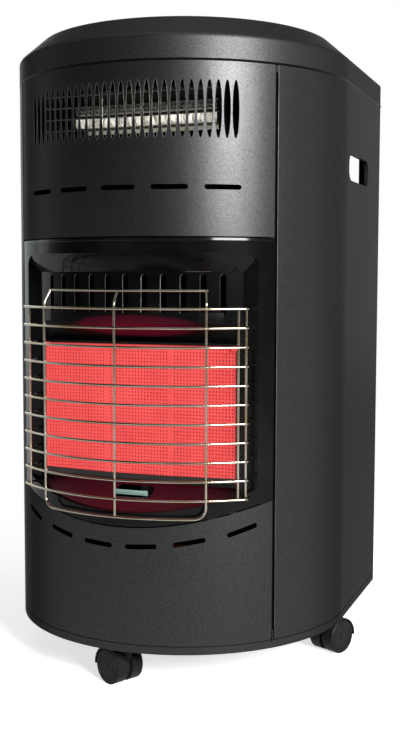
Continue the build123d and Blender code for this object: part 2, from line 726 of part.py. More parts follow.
def supply_pipe():
    """Gas pipe from the valve, over the bottle bay and down to the burner's feed pipe."""
    low = MANIFOLD_Z
    high = SUPPLY_HEIGHT
    y_tap = TRAY_CENTRE - TAP_PORT_OFFSET
    path = FilletPolyline(
        (MANIFOLD_HALF, VENTURI_Y, low),
        (SUPPLY_X, VENTURI_Y, low),
        (SUPPLY_X, VENTURI_Y, high),
        (SUPPLY_X, y_tap, high),
        (KNOB_X, y_tap, high),
        (KNOB_X, y_tap, VALVE_BOTTOM),
        radius=SUPPLY_BEND,
    )
    return tube_along(path, SUPPLY_DIAMETER)


def pilot_bracket():
    """Pilot burner bar and thermocouple on a bent bracket behind the tray's slot."""
    half = PILOT_SLOT_WIDTH / 2 - PAD
    bar = cross_rod(PILOT_DIAMETER, -half, half, PILOT_Y, PILOT_Z)
    foot = PILOT_Z - PILOT_DIAMETER / 2
    inner = half - PILOT_ARM
    arm = block(inner, half, PILOT_Y, PARTITION_FRONT, foot, foot + BRACKET_SHEET)
    flange = block(
        inner,
        half,
        PARTITION_FRONT - BRACKET_SHEET,
        PARTITION_FRONT,
        foot - BRACKET_WIDTH,
        foot + BRACKET_SHEET,
    )
    return bar + arm + flange


def partition():
    """Upright wall between the bottle bay and the burner, flanged to the side panels."""
    low_radius = BODY_RADIUS - BASE_RIM_THICKNESS - FIT_GAP
    high_radius = BODY_RADIUS - INNER_FIT - SHEET / 2
    region = rod(2 * low_radius, FLOOR_TOP, PARTITION_TOP)
    region += rod(2 * high_radius, UPSTAND_TOP + PAD, PARTITION_TOP)
    wall = block(-BODY_RADIUS, BODY_RADIUS, PARTITION_FRONT, PARTITION_FRONT + SHEET, 0, LID_LINE)
    wall &= region
    start = math.degrees(math.acos(-PARTITION_FRONT / high_radius))
    flange_plan = band(BODY_RADIUS - INNER_FIT, BODY_RADIUS - INNER_FIT - SHEET, start, start + FLANGE_ANGLE)
    flange = rise(flange_plan, UPSTAND_TOP + PAD, PARTITION_TOP)
    wall += flange + mirror(flange, about=Plane.YZ)
    hole = Pos(SUPPLY_X, PARTITION_FRONT, SUPPLY_HEIGHT) * Rot(90, 0, 0)
    return wall - hole * Cylinder(SUPPLY_DIAMETER / 2 + SHEET, SUPPLY_BEND)


# ---- wire guard ----


def guard_tail():
    """Start, direction and length of the straight end of a guard wire, on the right."""
    turn = math.radians(GUARD_FACE_ANGLE + GUARD_BEND_ANGLE)
    face_end = polar(GUARD_FACE_ANGLE, GUARD_RADIUS - GUARD_BEND_RADIUS)
    start = face_end + polar(GUARD_FACE_ANGLE + GUARD_BEND_ANGLE, GUARD_BEND_RADIUS)
    along = Vector(math.cos(turn), math.sin(turn))
    return start, along, (CHEEK_FRONT - start.Y) / along.Y


def guard_row():
    """One level guard wire: long front arc, two bends and two straight ends."""
    start, along, length = guard_tail()
    corner = polar(GUARD_FACE_ANGLE, GUARD_RADIUS)
    half_turn = GUARD_FACE_ANGLE + GUARD_BEND_ANGLE / 2
    centre = polar(GUARD_FACE_ANGLE, GUARD_RADIUS - GUARD_BEND_RADIUS)
    middle = centre + polar(half_turn, GUARD_BEND_RADIUS)
    end = start + along * (length + PAD)
    front = polar(0, GUARD_RADIUS)
    face = ThreePointArc(front, polar(GUARD_FACE_ANGLE / 2, GUARD_RADIUS), corner)
    path = Wire([face, ThreePointArc(corner, middle, start), Line(start, end)])
    bar = tube_along(path, WIRE)
    return bar + mirror(bar, about=Plane.YZ)


def guard_loop():
    """Wires of the front loop: bent foot run, two sides and a middle leaning back, and the head bar."""
    radius = GUARD_RADIUS - WIRE + WELD
    head_radius = radius - LOOP_TOP_SETBACK
    turn = LOOP_ANGLE - math.degrees(LOOP_CORNER / radius)
    head_turn = LOOP_ANGLE + math.degrees(WIRE / head_radius)
    side_foot = LOOP_BOTTOM + LOOP_CORNER
    frame = Rot(0, 0, turn)
    corner = FilletPolyline(
        (0, -radius, LOOP_BOTTOM),
        (LOOP_CORNER, -radius, LOOP_BOTTOM),
        (LOOP_CORNER, -radius, side_foot),
        radius=LOOP_CORNER - WELD,
    )
    bend = frame * tube_along(corner, WIRE)
    run = ThreePointArc(*[polar(angle, radius, LOOP_BOTTOM) for angle in (-turn, 0, turn)])
    foot = tube_along(run, WIRE) + bend + mirror(bend, about=Plane.YZ)
    bar = ThreePointArc(*[polar(angle, head_radius, LOOP_TOP) for angle in (-head_turn, 0, head_turn)])
    over_bar = rod(BODY_WIDTH, LOOP_TOP - WIRE / 2 + WELD, LID_LINE)
    leaning = []
    for x, foot_z in ((LOOP_CORNER, side_foot), (0, LOOP_BOTTOM + WIRE / 2 - WELD)):
        path = FilletPolyline(
            (x, -radius, foot_z),
            (x, -radius, LOOP_TOP - LOOP_LEAN_HEIGHT),
            (x, -head_radius, LOOP_TOP),
            radius=LEAN_BEND,
        )
        leaning.append(tube_along(path, WIRE) - over_bar)
    side = frame * leaning[0]
    return [foot, side, mirror(side, about=Plane.YZ), leaning[1], tube_along(bar, WIRE)]


def wire_guard():
    """Wire guard in front of the hearth: every wire a solid of its own, a little sunk at its welds."""
    row = guard_row()
    wires = guard_loop()
    wires += [Pos(0, 0, GUARD_TOP_ROW - index * GUARD_ROW_PITCH) * row for index in range(GUARD_ROW_COUNT)]
    start, along, length = guard_tail()
    inward = Vector(-along.Y, along.X) * (WIRE - WELD)
    face_post = polar(GUARD_POST_ANGLE, GUARD_RADIUS - WIRE + WELD)
    tail_post = start + along * (length * GUARD_TAIL_SHARE) + inward
    for place in (face_post, tail_post):
        upright = rod(WIRE, GUARD_FOOT_ROW - WIRE / 2, GUARD_TOP_ROW + WIRE / 2, place.X, place.Y)
        wires += [upright, mirror(upright, about=Plane.YZ)]
    pocket = facing_prism(pocket_outline(0), CHEEK_FRONT, -BODY_WIDTH)
    surround = rod(BODY_WIDTH, 0, LID_LINE) - pocket
    trimmed = [wire - surround for wire in wires]
    return Compound([solid for wire in trimmed for solid in wire.solids()])


# ---- electric unit ----


def reflector_section(inset):
    """Section of the trough: flat back and two flared leaves, given in Y and Z."""
    back = PARTITION_FRONT - inset
    half_back = REFLECTOR_HEIGHT / 3 - inset / 2
    half_front = REFLECTOR_HEIGHT / 2 - inset
    front = REFLECTOR_FRONT - (PAD if inset else 0)
    points = [
        (front, REFLECTOR_CENTRE - half_front),
        (back, REFLECTOR_CENTRE - half_back),
        (back, REFLECTOR_CENTRE + half_back),
        (front, REFLECTOR_CENTRE + half_front),
    ]
    return Plane.YZ * make_face(Polyline(*points, close=True))


def electric_reflector():
    """Trough with end plates that carry the tubes and the inner grille."""
    half = REFLECTOR_HALF
    outer = extrude(reflector_section(0), amount=half, both=True)
    inner = extrude(reflector_section(REFLECTOR_SHEET), amount=half - REFLECTOR_SHEET, both=True)
    low = REFLECTOR_CENTRE - REFLECTOR_HEIGHT / 2
    high = REFLECTOR_CENTRE + REFLECTOR_HEIGHT / 2
    plate = block(half - REFLECTOR_SHEET, half, GRILLE_FRONT - GRILLE_WIRE, PARTITION_FRONT, low, high)
    return outer - inner + plate + mirror(plate, about=Plane.YZ)


def tube_heights():
    """Axis heights of the lower and the upper quartz tube."""
    return (TUBE_AXIS_Z - TUBE_PITCH / 2, TUBE_AXIS_Z + TUBE_PITCH / 2)


def quartz_tube(z):
    """Quartz tube, held by a cap at each end."""
    half = REFLECTOR_HALF - REFLECTOR_SHEET - END_CAP_WALL
    return cross_rod(TUBE_DIAMETER, -half, half, TUBE_AXIS_Y, z)


def tube_end_caps():
    """Ceramic caps on the tube ends, seated on the end plates."""
    outside = REFLECTOR_HALF - REFLECTOR_SHEET
    caps = []
    for z in tube_heights():
        cap = cross_rod(TUBE_PITCH, outside - END_CAP_LENGTH, outside, TUBE_AXIS_Y, z)
        bore = TUBE_DIAMETER + 2 * RUNNING_GAP
        cap -= cross_rod(bore, 0, outside - END_CAP_WALL, TUBE_AXIS_Y, z)
        caps += [cap, mirror(cap, about=Plane.YZ)]
    return Part() + caps


def inner_grille():
    """Straight safety wires in front of the quartz tubes."""
    half = REFLECTOR_HALF - REFLECTOR_SHEET
    heights = [REFLECTOR_CENTRE + step for step in centred_steps(GRILLE_COUNT, GRILLE_PITCH)]
    wires = [cross_rod(GRILLE_WIRE, -half, half, GRILLE_FRONT, z) for z in heights]
    tie_y = GRILLE_FRONT + GRILLE_WIRE - WELD
    ties = [rod(GRILLE_WIRE, heights[0], heights[-1], x, tie_y) for x in (-half / 3, half / 3)]
    return Part() + wires + ties


# ---- lid and controls ----


def lid_section(inset):
    """Half section of the lid in radius and height, drawn in by an inset."""
    rise_height = LID_TOP - LID_CREASE
    lower_turn = math.atan2(LID_INSET, rise_height)
    upper_turn = math.pi / 2 - lower_turn
    edge = BODY_RADIUS - inset
    crease = LID_CREASE - inset * math.tan(lower_turn / 2)
    shoulder = BODY_RADIUS - LID_INSET - inset * math.tan(upper_turn / 2)
    top = LID_TOP - inset
    bottom = LID_LINE - (PAD if inset else 0)
    points = [(0, bottom), (edge, bottom), (edge, crease), (shoulder, top), (0, top)]
    section = make_face(Polyline(*points, close=True))
    corners = section.vertices()
    crease_corner = corners.sort_by_distance((edge, crease))[0]
    section = fillet(crease_corner, LID_CREASE_RADIUS - inset)
    shoulder_corner = section.vertices().sort_by_distance((shoulder, top))[0]
    return fillet(shoulder_corner, LID_EDGE_RADIUS - inset)


def lid_solid(inset):
    """Lid volume: turned half round at the front, straight along the sides."""
    section = Plane.XZ * lid_section(inset)
    turned = revolve(section, Axis.Z, 360)
    front = turned & block(-BODY_WIDTH, BODY_WIDTH, -BODY_WIDTH, 0, 0, LID_TOP)
    side = extrude(section, amount=SIDE_LENGTH - inset, dir=(0, 1, 0))
    body = front + side + mirror(side, about=Plane.YZ)
    return body & plan_prism(inset, 0, LID_TOP)


def tray_prism(grow, bottom, top):
    """Rounded prism of the control recess, grown by an amount."""
    outline = RectangleRounded(TRAY_LENGTH + 2 * grow, TRAY_WIDTH + 2 * grow, TRAY_CORNER + grow)
    return rise(Pos(0, TRAY_CENTRE) * outline, bottom, top)


def lid():
    """Pressed lid with a skirt inside the panels and the opening for the controls."""
    shell = lid_solid(0) - lid_solid(SHEET)
    shell += plan_wall(0, INNER_FIT + SHEET, LID_LINE, LID_LINE + SHEET)
    shell += plan_wall(INNER_FIT, SHEET, SKIRT_BOTTOM, LID_LINE + SHEET)
    shell -= tray_prism(0, TRAY_TOP - PAD, LID_TOP + PAD)
    gland = Pos(GLAND_X, SIDE_LENGTH, GLAND_Z) * Rot(90, 0, 0)
    return shell - gland * Cylinder(GLAND_DIAMETER / 2 - SHEET, REAR_FLANGE)


def control_holes(bottom, top):
    """Openings that the tap spindle, the igniter and the two switches pass through."""
    holes = [rod(SPINDLE_DIAMETER + SHEET, bottom, top, KNOB_X, TRAY_CENTRE)]
    holes.append(rod(IGNITER_BODY + FIT_GAP, bottom, top, IGNITER_X, TRAY_CENTRE))
    width = SWITCH_WIDTH / 2 + FIT_GAP / 2
    low = TRAY_CENTRE - SWITCH_LENGTH / 2 - FIT_GAP / 2
    high = TRAY_CENTRE + SWITCH_LENGTH / 2 + FIT_GAP / 2
    holes += [block(x - width, x + width, low, high, bottom, top) for x in SWITCH_X]
    return holes


def control_tray():
    """Recessed tray under the lid, flanged round its mouth."""
    tray = tray_prism(SHEET, TRAY_UNDERSIDE, TRAY_TOP)
    tray += tray_prism(TRAY_FLANGE, TRAY_TOP - SHEET, TRAY_TOP)
    tray -= tray_prism(0, TRAY_FLOOR, LID_TOP)
    return tray - control_holes(TRAY_UNDERSIDE - PAD, LID_TOP)


def control_facia():
    """Flat facia plate on the floor of the tray."""
    plate = tray_prism(-FACIA_INSET, TRAY_FLOOR, FACIA_TOP)
    return plate - control_holes(TRAY_FLOOR - PAD, FACIA_TOP + PAD)


def gas_valve_body():
    """Cast tap body with the bore for its plug and a bonnet under the tray."""
    y = TRAY_CENTRE
    x = KNOB_X
    half_width = VALVE_WIDTH / 2
    half_length = VALVE_LENGTH / 2
    body = block(x - half_width, x + half_width, y - half_length, y + half_length, VALVE_BOTTOM, VALVE_TOP)
    body = fillet(body.edges().filter_by(Axis.Z), LID_EDGE_RADIUS)
    body += rod(BONNET_DIAMETER, VALVE_TOP, TRAY_UNDERSIDE, x, y)
    return body - rod(PLUG_DIAMETER + 2 * RUNNING_GAP, VALVE_BOTTOM + PLUG_SEAT, LID_TOP, x, y)


def valve_plug():
    """Turning plug of the tap, bored for the spindle."""
    bottom = VALVE_BOTTOM + PLUG_SEAT
    plug = rod(PLUG_DIAMETER, bottom, bottom + PLUG_HEIGHT, KNOB_X, TRAY_CENTRE)
    spare = SPINDLE_FOOT - PUSH_TRAVEL - PAD
    return plug - rod(SPINDLE_DIAMETER + 2 * RUNNING_GAP, spare, LID_TOP, KNOB_X, TRAY_CENTRE)


def valve_spindle():
    """Spindle with its flat, from the plug up into the knob."""
    spindle = rod(SPINDLE_DIAMETER, SPINDLE_FOOT, SPINDLE_FOOT + SPINDLE_LENGTH, KNOB_X, TRAY_CENTRE)
    front = TRAY_CENTRE - SPINDLE_DIAMETER / 2
    left = KNOB_X - SPINDLE_DIAMETER
    right = KNOB_X + SPINDLE_DIAMETER
    return spindle - block(left, right, front - PAD, front + PAD, KNOB_BOTTOM, LID_TOP)


def gas_knob():
    """Fluted knob with a raised pointer bar, bored for the spindle and its flat."""
    knob = Cylinder(KNOB_DIAMETER / 2, KNOB_HEIGHT)
    knob = chamfer(knob.faces().sort_by(Axis.Z)[-1].edges(), KNOB_CHAMFER)
    flute = Cylinder(FLUTE_RADIUS, KNOB_HEIGHT - KNOB_SKIRT)
    flute = Pos(KNOB_DIAMETER / 2 + FLUTE_RADIUS - FLUTE_DEPTH, 0, KNOB_SKIRT / 2) * flute
    knob -= [Rot(0, 0, step * 360 / FLUTE_COUNT) * flute for step in range(FLUTE_COUNT)]
    slot = Box(POINTER_WIDTH, KNOB_DIAMETER / 2, 2 * POINTER_DEPTH)
    knob -= Pos(0, KNOB_DIAMETER / 4, KNOB_HEIGHT / 2) * slot
    knob = Pos(KNOB_X, TRAY_CENTRE, KNOB_BOTTOM + KNOB_HEIGHT / 2) * knob
    spindle_top = SPINDLE_FOOT + SPINDLE_LENGTH
    bore = SPINDLE_DIAMETER + 2 * RUNNING_GAP
    return knob - rod(bore, KNOB_BOTTOM - PAD, spindle_top, KNOB_X, TRAY_CENTRE)


def hose_inlet():
    """Threaded spigot that the gas hose screws on, with its hexagon."""
    y = TRAY_CENTRE + TAP_PORT_OFFSET
    hexagon = RegularPolygon(INLET_HEX / 2, 6, major_radius=False)
    nut = rise(Pos(KNOB_X, y) * hexagon, VALVE_BOTTOM - INLET_HEX_HEIGHT, VALVE_BOTTOM)
    foot = VALVE_BOTTOM - INLET_HEX_HEIGHT - INLET_LENGTH
    spigot = rod(INLET_THREAD, foot, VALVE_BOTTOM - INLET_HEX_HEIGHT, KNOB_X, y)
    return nut + spigot - rod(INLET_BORE, foot - PAD, VALVE_BOTTOM - PAD, KNOB_X, y)


def mains_gland():
    """Cable gland in the rear wall of the lid."""
    gland = Pos(0, COLLAR_HEIGHT / 2, 0) * Rot(90, 0, 0) * Cylinder(GLAND_DIAMETER / 2, COLLAR_HEIGHT)
    inside = GLAND_DIAMETER / 2 - SHEET - RUNNING_GAP
    gland += Pos(0, -GLAND_DIAMETER / 4, 0) * Rot(90, 0, 0) * Cylinder(inside, GLAND_DIAMETER / 2)
    gland -= Rot(90, 0, 0) * Cylinder(GLAND_BORE / 2, BODY_WIDTH)
    return Pos(GLAND_X, SIDE_LENGTH, GLAND_Z) * gland


def igniter_body():
    """Piezo igniter housing under the tray, its collar on the facia."""
    body = rod(IGNITER_BODY, TRAY_UNDERSIDE - IGNITER_DEPTH, FACIA_TOP, IGNITER_X, TRAY_CENTRE)
    body += rod(IGNITER_COLLAR, FACIA_TOP, FACIA_TOP + COLLAR_HEIGHT, IGNITER_X, TRAY_CENTRE)
    bottom = BUTTON_FOOT - BUTTON_TRAVEL - PAD
    return body - rod(BUTTON_DIAMETER + 2 * RUNNING_GAP, bottom, LID_TOP, IGNITER_X, TRAY_CENTRE)


def igniter_button():
    """Round push button with an eased head."""
    head = FACIA_TOP + COLLAR_HEIGHT + BUTTON_PROUD
    button = rod(BUTTON_DIAMETER, BUTTON_FOOT, head, IGNITER_X, TRAY_CENTRE)
    return chamfer(button.faces().sort_by(Axis.Z)[-1].edges(), PAD)


def switch_body():
    """Housing of one rocker switch with its flange and pivot holes."""
    wide = SWITCH_WIDTH / 2
    deep = SWITCH_LENGTH / 2
    body = block(-wide, wide, -deep, deep, FACIA_TOP - SWITCH_DEPTH, FACIA_TOP)
    edge = SWITCH_FLANGE
    body += block(-wide - edge, wide + edge, -deep - edge, deep + edge, FACIA_TOP, FACIA_TOP + edge)
    room = ROCKER_LENGTH / 2 + FIT_GAP
    cavity = Pos(0, 0, ROCKER_AXIS) * Rot(0, 90, 0) * Cylinder(room, ROCKER_WIDTH + 2 * FIT_GAP)
    hole = ROCKER_PIN + 2 * RUNNING_GAP
    return body - cavity - cross_rod(hole, SHEET - wide, wide - SHEET, 0, ROCKER_AXIS)


def rocker():
    """Rocker of one switch on its two pins, tilted to its off position."""
    half = ROCKER_LENGTH / 2
    base = Circle(half) & Pos(0, -half / 2) * Rectangle(2 * half, half)
    head = [(-half, 0), (half, 0), (half, ROCKER_HORN), (0, ROCKER_DIP), (-half, ROCKER_HORN)]
    crown = make_face(Polyline(*head, close=True))
    shape = extrude(Plane.YZ * (base + crown), amount=ROCKER_WIDTH / 2, both=True)
    reach = SWITCH_WIDTH / 2 - SHEET - RUNNING_GAP
    shape += cross_rod(ROCKER_PIN, -reach, reach, 0, 0)
    return Pos(0, 0, ROCKER_AXIS) * Rot(-ROCKER_TILT, 0, 0) * shape


# ---- rear ----


def rear_sheet(half, bottom, top, y):
    """Rounded upright rectangle across the rear."""
    outline = RectangleRounded(2 * half, top - bottom, TRAY_CORNER)
    return Pos(0, y, 0) * (Plane.XZ * Pos(0, (bottom + top) / 2) * outline)


def cover_bow(inset):
    """Bulged volume of the rear cover, made smaller by the sheet for its inside."""
    half = COVER_HALF - COVER_MARGIN - inset
    bottom = COVER_BOTTOM + COVER_MARGIN + inset
    top = COVER_TOP - COVER_MARGIN - inset
    start = COVER_SKIN + SHEET - inset
    end = start + COVER_BOW
    wide = rear_sheet(half, bottom, top, start)
    small = rear_sheet(half - COVER_BOW, bottom + COVER_BOW, top - COVER_BOW, end)
    return loft([wide, small], ruled=True)


def rear_cover():
    """Rear cover: flanged sheet with a bulged middle, air slots and two foot tabs."""
    half = COVER_HALF
    pan = block(-half, half, COVER_FRONT, COVER_SKIN + SHEET, COVER_BOTTOM, COVER_TOP)
    pan -= block(SHEET - half, half - SHEET, 0, COVER_SKIN, COVER_BOTTOM + SHEET, COVER_TOP - SHEET)
    cover = pan + cover_bow(0) - cover_bow(SHEET)
    outline = SlotOverall(COVER_SLOT_HEIGHT, SLOT_HEIGHT, rotation=90)
    for z in (COVER_BOTTOM + COVER_SLOT_RISE, COVER_TOP - COVER_SLOT_RISE):
        for x in centred_steps(COVER_SLOT_COUNT, COVER_SLOT_PITCH):
            cover -= facing_prism(Pos(x, z) * outline, BODY_WIDTH, SIDE_LENGTH)
    for x in (-HOOK_X, HOOK_X):
        left = x - TAB_WIDTH / 2
        right = x + TAB_WIDTH / 2
        cover += block(left, right, COVER_SKIN, COVER_SKIN + SHEET, TAB_FOOT, COVER_BOTTOM + PAD)
    return cover


def rear_hooks():
    """Two folded hooks on the base rim that the cover's tabs stand in."""
    floor_top = TAB_FOOT - FIT_GAP
    hooks = []
    for x in (-HOOK_X, HOOK_X):
        low = x - HOOK_WIDTH / 2
        high = x + HOOK_WIDTH / 2
        hook = block(low, high, SIDE_LENGTH, SIDE_LENGTH + HOOK_SHEET, BASE_BOTTOM, RIM_TOP)
        hook += block(low, high, SIDE_LENGTH, SIDE_LENGTH + HOOK_DEPTH, BASE_BOTTOM, floor_top)
        inner = SIDE_LENGTH + HOOK_DEPTH - SHEET
        hook += block(low, high, inner, SIDE_LENGTH + HOOK_DEPTH, BASE_BOTTOM, TAB_FOOT + HOOK_LIP)
        hooks.append(hook)
    return Part() + hooks


def rear_catches():
    """Magnets on the rear flanges that hold the head of the cover."""
    centre = FLANGE_INNER + COVER_LAP / 2 - SHEET / 2
    top = COVER_TOP - COVER_MARGIN
    catch = block(
        centre - CATCH_WIDTH / 2,
        centre + CATCH_WIDTH / 2,
        SIDE_LENGTH,
        COVER_SKIN - FIT_GAP,
        top - CATCH_HEIGHT,
        top,
    )
    return Part() + [catch, mirror(catch, about=Plane.YZ)]


def screw():
    """Pan-head screw seen from behind, its slot level."""
    head = Rot(-90, 0, 0) * Cylinder(SCREW_HEAD / 2, SCREW_HEIGHT)
    head = chamfer(head.faces().sort_by(Axis.Y)[-1].edges(), SCREW_HEIGHT / 4)
    head -= Pos(0, SCREW_HEIGHT / 2, 0) * Box(SCREW_HEAD, SCREW_HEIGHT, PAD)
    return Pos(0, SCREW_HEIGHT / 2, 0) * head


def screws():
    """Screws of the hooks and of the two rear flanges."""
    places = []
    for x in (-HOOK_X, HOOK_X):
        for shift in (-HOOK_WIDTH / 2 + SCREW_HEAD, HOOK_WIDTH / 2 - SCREW_HEAD):
            places.append((x + shift, SIDE_LENGTH + HOOK_SHEET, RIM_TOP - SCREW_HEAD / 2))
    for x in (-SCREW_X, SCREW_X):
        for z in (PANEL_TOP - SCREW_HEAD, UPSTAND_TOP - SCREW_HEAD / 2):
            places.append((x, SIDE_LENGTH, z))
    return Part() + [Pos(*place) * screw() for place in places]


# ---- castors, drawn about the stem's axis with the wheels trailing along +X ----


def fender():
    """Hood of a castor: curved guard over both wheels, web between them, stem boss."""
    inner = WHEEL_RADIUS + HOOD_GAP
    outer = inner + HOOD_SHEET
    start = -HOOD_DROP
    end = start + HOOD_SWEEP
    arcs = [
        CenterArc((0, 0), outer, start, HOOD_SWEEP),
        CenterArc((0, 0), inner, start, HOOD_SWEEP),
    ]
    sides = [Line(arcs[0] @ 0, arcs[1] @ 0), Line(arcs[0] @ 1, arcs[1] @ 1)]
    guard = Plane.XZ * make_face(arcs + sides)
    hood = extrude(guard, amount=CASTER_WIDTH / 2, both=True)
    reach = 2 * outer
    start_turn = math.radians(start)
    end_turn = math.radians(end)
    wedge = [
        (0, 0),
        (reach, reach * math.tan(start_turn)),
        (reach, reach),
        (-reach, reach),
        (reach * math.cos(end_turn), reach * math.sin(end_turn)),
    ]
    web = (Circle(inner + PAD) & make_face(Polyline(*wedge, close=True))) + Circle(WHEEL_RADIUS - WEB_CLEARANCE)
    hood += extrude(Plane.XZ * web, amount=WEB_THICKNESS / 2, both=True)
    hood = Pos(CASTER_TRAIL, 0, WHEEL_RADIUS) * hood
    boss = rod(STEM_BOSS, WHEEL_RADIUS, BASE_BOTTOM - FIT_GAP)
    boss -= Pos(CASTER_TRAIL, 0, WHEEL_RADIUS) * Rot(90, 0, 0) * Cylinder(inner, CASTER_WIDTH)
    hood += boss
    hood -= rod(STEM_DIAMETER + 2 * RUNNING_GAP, STEM_FOOT - FIT_GAP, BASE_BOTTOM)
    axle_hole = Rot(90, 0, 0) * Cylinder(AXLE_DIAMETER / 2, WEB_THICKNESS)
    return hood - Pos(CASTER_TRAIL, 0, WHEEL_RADIUS) * axle_hole


def axle():
    """Steel pin through the web that both wheels run on."""
    length = CASTER_WIDTH - 2 * AXLE_COVER
    return Pos(CASTER_TRAIL, 0, WHEEL_RADIUS) * Rot(90, 0, 0) * Cylinder(AXLE_DIAMETER / 2, length)


def wheel(side):
    """Twin-castor wheel, blind bored from its inner face; side is +1 or -1."""
    outer_face = CASTER_WIDTH / 2
    middle = side * (outer_face - WHEEL_WIDTH / 2)
    disc = Cylinder(WHEEL_RADIUS, WHEEL_WIDTH)
    disc = chamfer(disc.edges().filter_by(GeomType.CIRCLE), WHEEL_EASE)
    disc = Pos(0, middle, 0) * Rot(90, 0, 0) * disc
    reach = outer_face - AXLE_COVER + FIT_GAP
    disc -= Rot(90, 0, 0) * Cylinder(AXLE_DIAMETER / 2 + RUNNING_GAP, 2 * reach)
    return Pos(CASTER_TRAIL, 0, WHEEL_RADIUS) * disc


def caster_stems():
    """Steel stems pressed into the sockets of the base."""
    places = caster_places().values()
    return Part() + [rod(STEM_DIAMETER, STEM_FOOT, STEM_TOP, place.X, place.Y) for place in places]


def main():
    """Build every piece and write it out."""
    save(base_pan(), "base_pan")
    right = side_panel()
    save(right, "right_side_panel")
    save(mirror(right, about=Plane.YZ), "left_side_panel")
    save(upper_front_panel(), "upper_front_panel")
    save(lower_front_panel(), "lower_front_panel")
    save(front_bezel(), "front_bezel")
    save(burner_hood(), "burner_hood")
    save(burner_tray(), "burner_tray")
    save(burner_frame(), "burner_frame")
    places = centred_steps(PLAQUE_COUNT, PLAQUE_WIDTH)
    for x, side in zip(places, ("left", "centre", "right")):
        save(Pos(x, 0, 0) * plaque(), f"plaque_{side}")
        save(Pos(x, 0, 0) * burner_box(), f"burner_box_{side}")
    save(gas_manifold(), "gas_manifold")
    save(supply_pipe(), "supply_pipe")
    save(pilot_bracket(), "pilot_bracket")
    save(partition(), "partition")
    save(wire_guard(), "wire_guard")
    save(electric_reflector(), "electric_reflector")
    for z, level in zip(tube_heights(), ("lower", "upper")):
        save(quartz_tube(z), f"quartz_tube_{level}")
    save(tube_end_caps(), "tube_end_caps")
    save(inner_grille(), "inner_grille")
    save(lid(), "lid")
    save(control_tray(), "control_tray")
    save(control_facia(), "control_facia")
    save(gas_valve_body(), "gas_valve_body")
    save(valve_plug(), "valve_plug")
    save(valve_spindle(), "valve_spindle")
    save(gas_knob(), "gas_knob")
    save(hose_inlet(), "hose_inlet")
    save(mains_gland(), "mains_gland")
    save(igniter_body(), "igniter_body")
    save(igniter_button(), "igniter_button")
    save(Part() + [Pos(x, TRAY_CENTRE, 0) * switch_body() for x in SWITCH_X], "switch_bodies")
    for number, x in enumerate(SWITCH_X, start=1):
        save(Pos(x, TRAY_CENTRE, 0) * rocker(), f"switch_rocker_{number}")
    save(rear_cover(), "rear_cover")
    save(rear_hooks(), "rear_hooks")
    save(rear_catches(), "rear_catches")
    save(screws(), "screws")
    save(caster_stems(), "caster_stems")
    for name, place in caster_places().items():
        spot = Pos(place.X, place.Y, 0) * Rot(0, 0, CASTER_HEADINGS[name])
        save(spot * fender(), f"caster_hood_{name}")
        save(spot * axle(), f"caster_axle_{name}")
        save(spot * wheel(1), f"caster_wheel_{name}_a")
        save(spot * wheel(-1), f"caster_wheel_{name}_b")


main()
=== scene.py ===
"""Dresses the portable gas cabinet heater: finishes, fine pieces, studio and camera."""

from __future__ import annotations

import logging
import math
from dataclasses import dataclass
from enum import Enum
from typing import Iterable, Mapping, Sequence

import bmesh
import bpy
from mathutils import Matrix, Vector

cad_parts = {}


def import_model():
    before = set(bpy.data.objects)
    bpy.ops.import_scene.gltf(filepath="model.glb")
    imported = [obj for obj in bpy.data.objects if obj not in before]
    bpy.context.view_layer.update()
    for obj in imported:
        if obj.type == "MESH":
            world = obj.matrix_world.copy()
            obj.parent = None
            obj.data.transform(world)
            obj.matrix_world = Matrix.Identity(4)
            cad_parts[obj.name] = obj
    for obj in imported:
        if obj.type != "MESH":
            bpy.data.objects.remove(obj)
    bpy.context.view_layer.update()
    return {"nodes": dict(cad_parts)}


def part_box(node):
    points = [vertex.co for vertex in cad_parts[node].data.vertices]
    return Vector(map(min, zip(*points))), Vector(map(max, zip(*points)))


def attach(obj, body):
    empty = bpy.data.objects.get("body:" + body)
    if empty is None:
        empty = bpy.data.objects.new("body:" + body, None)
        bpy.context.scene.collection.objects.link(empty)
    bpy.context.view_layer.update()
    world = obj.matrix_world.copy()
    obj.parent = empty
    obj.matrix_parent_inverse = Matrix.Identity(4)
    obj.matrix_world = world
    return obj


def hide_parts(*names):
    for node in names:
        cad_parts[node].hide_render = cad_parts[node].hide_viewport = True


LOG = logging.getLogger("heater")
MM = 0.001
CABINET = "cabinet"
AXIS_Y = 0.8 * MM  # The round front's axis in the shared frame.
BODY_RADIUS = 207.5 * MM
UNLIT = "000000"
WHITE = (1.0, 1.0, 1.0, 1.0)
CLOSED_RADIUS = 0.5 * MM  # A turned profile that ends below this radius gets a face.

Material = bpy.types.Material
Pin = tuple[bpy.types.Node, str | int]
Stops = Sequence[tuple[float, str]]


class Axis(Enum):
    """Direction that fine lines follow."""

    X = (1.0, 0.0, 0.0)
    Y = (0.0, 1.0, 0.0)
    Z = (0.0, 0.0, 1.0)


def linear(code: str) -> tuple[float, float, float, float]:
    """Turns a screen colour into scene-linear values.

    Args:
        code: Six hexadecimal digits, red first.

    Returns:
        Linear red, green, blue and a full alpha.
    """
    values = []
    for start in (0, 2, 4):
        part = int(code[start : start + 2], 16) / 255
        values.append(part / 12.92 if part <= 0.04045 else ((part + 0.055) / 1.055) ** 2.4)
    return (values[0], values[1], values[2], 1.0)


def per(size_mm: float) -> float:
    """Pattern scale that gives one grain or cell a real size in millimetres."""
    return 1 / (size_mm * MM)


